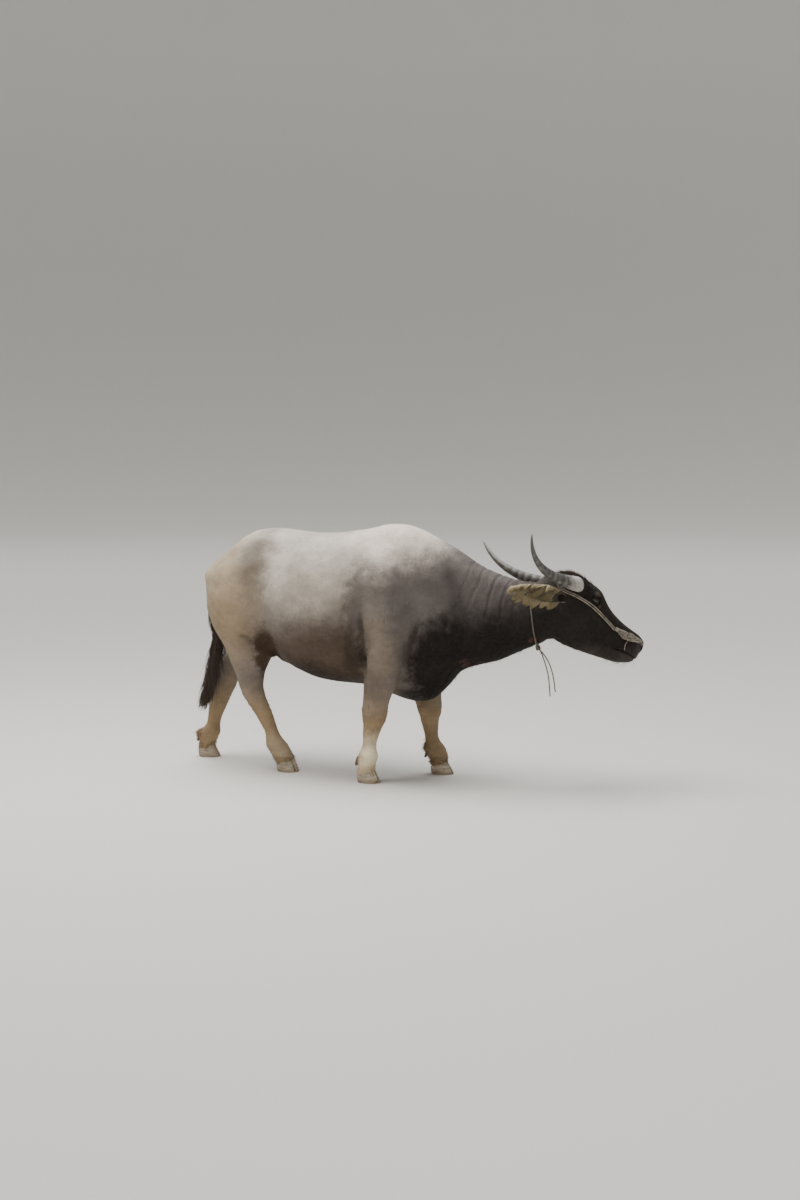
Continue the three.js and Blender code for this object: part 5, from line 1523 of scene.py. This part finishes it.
def growLocks(name, form, roots, normals, comb, length, patch):
    # Many bent tapered locks in one mesh, each with its own patch of the map
    count, steps, around = len(roots), form["steps"], form["sides"]
    lines, width, tone = lockRoutes(form, roots, normals, comb, length)
    t = np.linspace(0, 1, steps + 1)
    axis = unit(np.gradient(lines, axis=1))
    wide = unit(np.cross(axis, normals[:, None]))
    thin = np.cross(wide, axis)
    taper = np.maximum((1 - t) ** form.get("taper", 0.7), 0.0)
    taper[0] = form.get("rootShare", 0.7)
    angle = 2 * math.pi * np.arange(around) / around
    rings = lines[:, :-1, None]
    for wave, way, reach in ((np.cos(angle), wide, width), (np.sin(angle), thin, form["thick"] * width)):
        shape = (taper[:-1, None] * wave)[None, :, :, None]
        rings = rings + shape * way[:, :-1, None] * reach[:, None, None, None]
    points = np.concatenate([rings.reshape(count, -1, 3), lines[:, -1:]], axis=1).reshape(-1, 3)
    faces = lockFaces(steps, around)
    each = steps * around + 1
    flat = np.concatenate([np.array(face) for face in faces])
    loops = (flat[None] + (np.arange(count) * each)[:, None]).reshape(-1)
    totals = np.tile([len(face) for face in faces], count)
    mesh = bpy.data.meshes.new(name)
    mesh.vertices.add(len(points))
    mesh.vertices.foreach_set("co", points.astype(np.float32).ravel())
    mesh.loops.add(len(loops))
    mesh.loops.foreach_set("vertex_index", loops.astype(np.int32))
    mesh.polygons.add(len(totals))
    mesh.polygons.foreach_set("loop_start", np.concatenate([[0], np.cumsum(totals)[:-1]]).astype(np.int32))
    smoothShade(mesh)
    tips = np.append(np.repeat(t[:-1], around), 1.0)
    keepValues(mesh, "tip", np.tile(tips, count))
    keepValues(mesh, "tone", np.repeat(tone, each))
    side = np.append(np.tile(np.arange(around) / around, steps), 0.5)
    local = np.stack([side[flat], tips[flat]], axis=1) - 0.5
    spots = np.repeat(patch, len(flat), axis=0) + patchSize * np.tile(local, (count, 1))
    mesh.uv_layers.new(name="OFBake").data.foreach_set("uv", spots.astype(np.float32).ravel())
    mesh.update(calc_edges=True)
    mesh.validate()
    print(name, count, "locks", count * sum(len(face) - 2 for face in faces), "triangles")
    return newObject(name, mesh)


# Ears: long hair from the cup's lower edge and out of its inside. Rows: count, share of the cup's
# round from and to, length and how far it stands out
earHairForm = {"clumps": 14, "gather": 0.88, "steps": 7, "sides": 3, "width": 0.0012, "thick": 0.55,
               "lift": 0.35, "vary": 0.28, "stray": 0.1, "bend": 0.8, "droop": 0.16, "curl": 0.06,
               "taper": 0.6, "rootShare": 0.8, "sink": 0.001}
earHairRows = [(820, -1.0, -0.78, 0.066, 0.22), (480, 0.7, 1.0, 0.046, 0.06),
               (420, -0.6, 0.5, 0.06, 0.4), (240, -1.0, 1.0, 0.08, 0.1)]


def earLocks(name, ear):
    lower = ear["lower"]
    rows = []
    for count, low, high, length, spread in earHairRows:
        t = 0.985 - 0.7 * rng.uniform(0, 1, count) ** 1.15
        share = lower * rng.uniform(low, high, count)
        root = earSurface(ear, t, share, 0.0035)
        _, along, across, out = earFrame(ear, t)
        hang = np.array(ear["hang"]) + 0.12 * rng.normal(size=(count, 3))
        away = unit(out + 0.35 * across * (lower * share)[:, None])
        long = length * (0.45 + 0.55 * np.sin(math.pi * np.clip(t, 0.05, 0.95)) ** 0.6)
        rows.append((root, away, 0.55 * hang + 0.8 * along + spread * out, long))
    roots, normals, comb, lengths = (np.concatenate(column) for column in zip(*rows))
    roots = fromHead(roots)
    normals, comb = unit(normals @ headAxes.T), unit(comb @ headAxes.T)
    return growLocks(name, earHairForm, roots, normals, comb, lengths, nearestPatch(roots))


# Tail: a switch of coarse hair that swells below the core's middle and ends in a curl
tailHairForm = {"steps": 9, "sides": 3, "width": 0.0021, "thick": 0.6, "lift": 0.3, "vary": 0.25,
                "stray": 0.07, "bend": 0.9, "droop": 0.05, "curl": 0.07, "taper": 0.55,
                "rootShare": 0.8, "sink": 0.002}
tailHair = {"count": 1900, "at": [0.34, 0.45, 0.6, 0.85, 1.0], "long": [0.04, 0.09, 0.15, 0.12, 0.08]}


def tailLocks(name):
    count, places = tailHair["count"], 200
    t = tailHair["at"][0] + 0.65 * rng.uniform(0, 1, count) ** 0.9
    smooth = smoothRoute(tailRoute, places)
    place = np.clip((t * (places - 1)).astype(int), 0, places - 2)
    down = unit(smooth[place + 1] - smooth[place])
    angle = rng.uniform(0, 2 * math.pi, count)
    first = unit(np.cross(down, [0, 1, 0]))
    normals = first * np.cos(angle)[:, None] + np.cross(down, first) * np.sin(angle)[:, None]
    roots = smooth[place] + normals * (0.85 * tableAt(t, tailRadii))[:, None]
    length = np.interp(t, tailHair["at"], tailHair["long"])
    return growLocks(name, tailHairForm, roots, normals, down, length, nearestPatch(roots))


# Coat of the skin: where it grows, how long, and which way it lies
def combField(points):
    # Back over the body, down the legs, forward over the crown
    leg = (legShare(points) * ease(-points[:, 2], -0.7, -0.45))[:, None]
    head = isHead(points)[:, None]
    comb = np.array((-0.75, 0, -0.45)) * (1 - leg) + np.array((-0.12, 0, -1.0)) * leg
    return comb * (1 - head) + (-headAxes[:, 0] * 0.6 + np.array((0, 0, -0.35))) * head


def coatPiece(name, form, share, count, length):
    picked, roots, normals = scatter(share, count)
    comb = combField(roots)
    comb = unit(comb - normals * (comb * normals).sum(axis=1)[:, None] + 1e-6)
    piece = growLocks(name, form, roots, normals, comb, length, atlas[picked])
    keepValues(piece.data, "leg", np.repeat(legShare(roots), form["steps"] * form["sides"] + 1))
    return piece


height = centres[:, 2]
faceLocal = toHead(centres)
headHere = isHead(centres)
legHere = legShare(centres) * ease(-height, -0.6, -0.5)
eyeGap = np.minimum(*[size(faceLocal - sided(eyeForm["at"], side)) for side in sides.values()])
crownGap = size((faceLocal - [-0.02, 0, -0.05]) * [1, 0.7, 1])
clear = ease(eyeGap, 0.03, 0.04)
bare = 1 - bell(size((centres - tailMiddle) * [1, 1, 0.12]), 0.05)
fetlocks = np.zeros(len(centres))
for name in dewclaws:
    low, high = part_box(name)
    behind = [(low.x + high.x) / 2 + 0.014, (low.y + high.y) / 2, high.z + 0.006]
    fetlocks = np.maximum(fetlocks, bell(size(centres - behind), 0.026))
coatForm = {"steps": 4, "sides": 3, "thick": 0.6, "bend": 0.9, "taper": 0.6, "sink": 0.001}
coatForms = {
    "down": {"steps": 2, "width": 0.00055, "lift": 0.07, "vary": 0.35, "stray": 0.25, "bend": 0.7},
    "crown": {"width": 0.0007, "lift": 0.22, "vary": 0.35, "stray": 0.28, "droop": 0.12, "curl": 0.08,
              "sink": 0.0015},
    "whisker": {"width": 0.0004, "thick": 0.8, "lift": 0.9, "vary": 0.4, "stray": 0.3, "bend": 0.3,
                "droop": 0.1, "taper": 0.8},
    "fringe": {"width": 0.0008, "lift": 0.25, "vary": 0.4, "stray": 0.22, "droop": 0.2, "curl": 0.05},
    "lash": {"width": 0.0005, "thick": 0.8, "lift": 1.6, "vary": 0.3, "stray": 0.2, "bend": 0.5,
             "droop": 0.25, "taper": 0.7, "sink": 0.0005},
}
# Each coat: its form, where it grows, how many locks and how long
trunk = (1 - headHere) * (1 - legHere) * bare
aroundEye = headHere * bell(eyeGap - 0.023, 0.004)
coats = {
    "back_down": ("down", trunk * (0.35 + ease(height, 0.6, 1.15)), 16000, 0.017),
    "leg_down": ("down", legHere * bare, 9000, 0.014),
    "crown_hair": ("crown", headHere * clear * bell(crownGap, 0.085), 5600, 0.032),
    "face_down": ("down", headHere * clear * ease(-faceLocal[:, 0], -0.46, -0.42), 7000, 0.01),
    "throat_hair": ("crown", ease(-height, -0.86, -0.7) * ease(centres[:, 0], 0.2, 0.35)
                    * ease(-faceLocal[:, 0], -0.4, -0.25), 2600, 0.024),
    "hoof_hair": ("fringe", ease(-height, -0.098, -0.08) * ease(height, 0.04, 0.05), 3000, 0.022),
    "fetlock_hair": ("fringe", fetlocks, 1500, 0.026),
    "eye_lashes": ("lash", aroundEye * ease(faceLocal[:, 2], -0.054, -0.044), 150, 0.014),
    "muzzle_whiskers": ("whisker", headHere * ease(faceLocal[:, 0], 0.38, 0.46)
                        * ease(-faceLocal[:, 2], 0.07, 0.11), 260, 0.032),
}


# Dressing: every piece gets its finish and its place

for name, ear in earForms.items():
    root = fromHead(earFrame(ear, earSize["joint"])[0])
    joinTo(skin, makeEar("earShell", ear), root, earSize["jointReach"])
points = readPoints(skin.data)
local = toHead(points)
keepValues(skin.data, "leg", legShare(points))
muzzle = ease(local[:, 0], 0.44, 0.5) * ease(local[:, 2], -0.1, -0.07) * isHead(points)
keepValues(skin.data, "wet", muzzle)
place(skin, hideMaterial(), "hide", *flesh, "ear_right", "ear_left")

paleHair = hairMaterial("earHair", (0.74, 0.66, 0.45), (0.37, 0.28, 0.125), (0.1, 0.072, 0.034))
for name, ear in earForms.items():
    place(earLocks("ear_" + name + "_fringe", ear), paleHair, "ear_hair", "ear_" + name)
darkHair = hairMaterial("tailHair", (0.03, 0.022, 0.017), (0.052, 0.036, 0.026), (0.095, 0.065, 0.045))
place(tailLocks("tail_switch"), darkHair, "tail_hair", "tail")
print("ears and tail dressed")

hairCoat = coatMaterial("buffaloCoat", (1.45, 1.38, 1.28), 0.4)
for name, (kind, share, count, length) in coats.items():
    place(coatPiece(name, {**coatForm, **coatForms[kind]}, share, count, length), hairCoat, "hide", "torso")

eyeWet = eyeMaterial()
horns = {
    "right": hornMaterial(
        "nearHorn", (0.052, 0.048, 0.042), (0.21, 0.202, 0.182), (0.055, 0.053, 0.052), 0.95),
    "left": hornMaterial("farHorn", (0.13, 0.122, 0.105), (0.31, 0.295, 0.255), (0.045, 0.04, 0.036), 0.6),
}
for name, side in sides.items():
    place(makeEye("eye_" + name + "_ball", side), eyeWet, "eye", "eye_" + name)
    place(makeHorn("horn_" + name + "_ridged", side), horns[name], "horn", "horn_" + name)
hoofHorn = hoofMaterial()
for leg in ("foreleg_right", "foreleg_left", "hindleg_right", "hindleg_left"):
    nodes = sorted(name for name in claws + dewclaws if name.startswith(leg))
    place(makeClaws(leg + "_hooves", nodes), hoofHorn, "hoof", *nodes)
print("eyes, horns and hooves placed")

paleRope = ropeMaterial("paleRope", (0.36, 0.33, 0.27), (0.17, 0.145, 0.11))
dullRope = ropeMaterial("dullRope", (0.15, 0.13, 0.112), (0.075, 0.062, 0.052))
endRope = ropeMaterial("stainedRope", (0.13, 0.105, 0.08), (0.06, 0.048, 0.036))
for name, apart in (("front", 1), ("rear", -1)):
    cord = makeRope("halter_cord_" + name, [headCordPoints(apart)], headCord["radius"])
    place(cord, paleRope, "rope", "head_cord_" + name)
for name, side in sides.items():
    knot = makeRope("nose_tangle_" + name, noseKnotRoutes(side), noseKnot["radius"])
    place(knot, paleRope, "rope", "nose_knot_" + name)
place(makeRope("neck_rope", [neckCordPoints()], neckLoop["radius"]), dullRope, "rope", "neck_cord")
heart = [(tuple(neckKnotAt), neckKnot["heart"])]
knot = makeRope("neck_rope_knot", neckKnotRoutes(), neckKnot["radius"], heart)
place(knot, dullRope, "rope", "neck_knot")
for name, offsets in cordEnds.items():
    route = smoothRoute(neckKnotAt + np.array(offsets), 40)
    end = makeRope(name.replace("cord", "rope"), [route], cordEndRadius)
    place(end, endRope, "rope", name)
    length = float(size(np.diff(route, axis=0)).sum())
print("halter and neck cord laid")
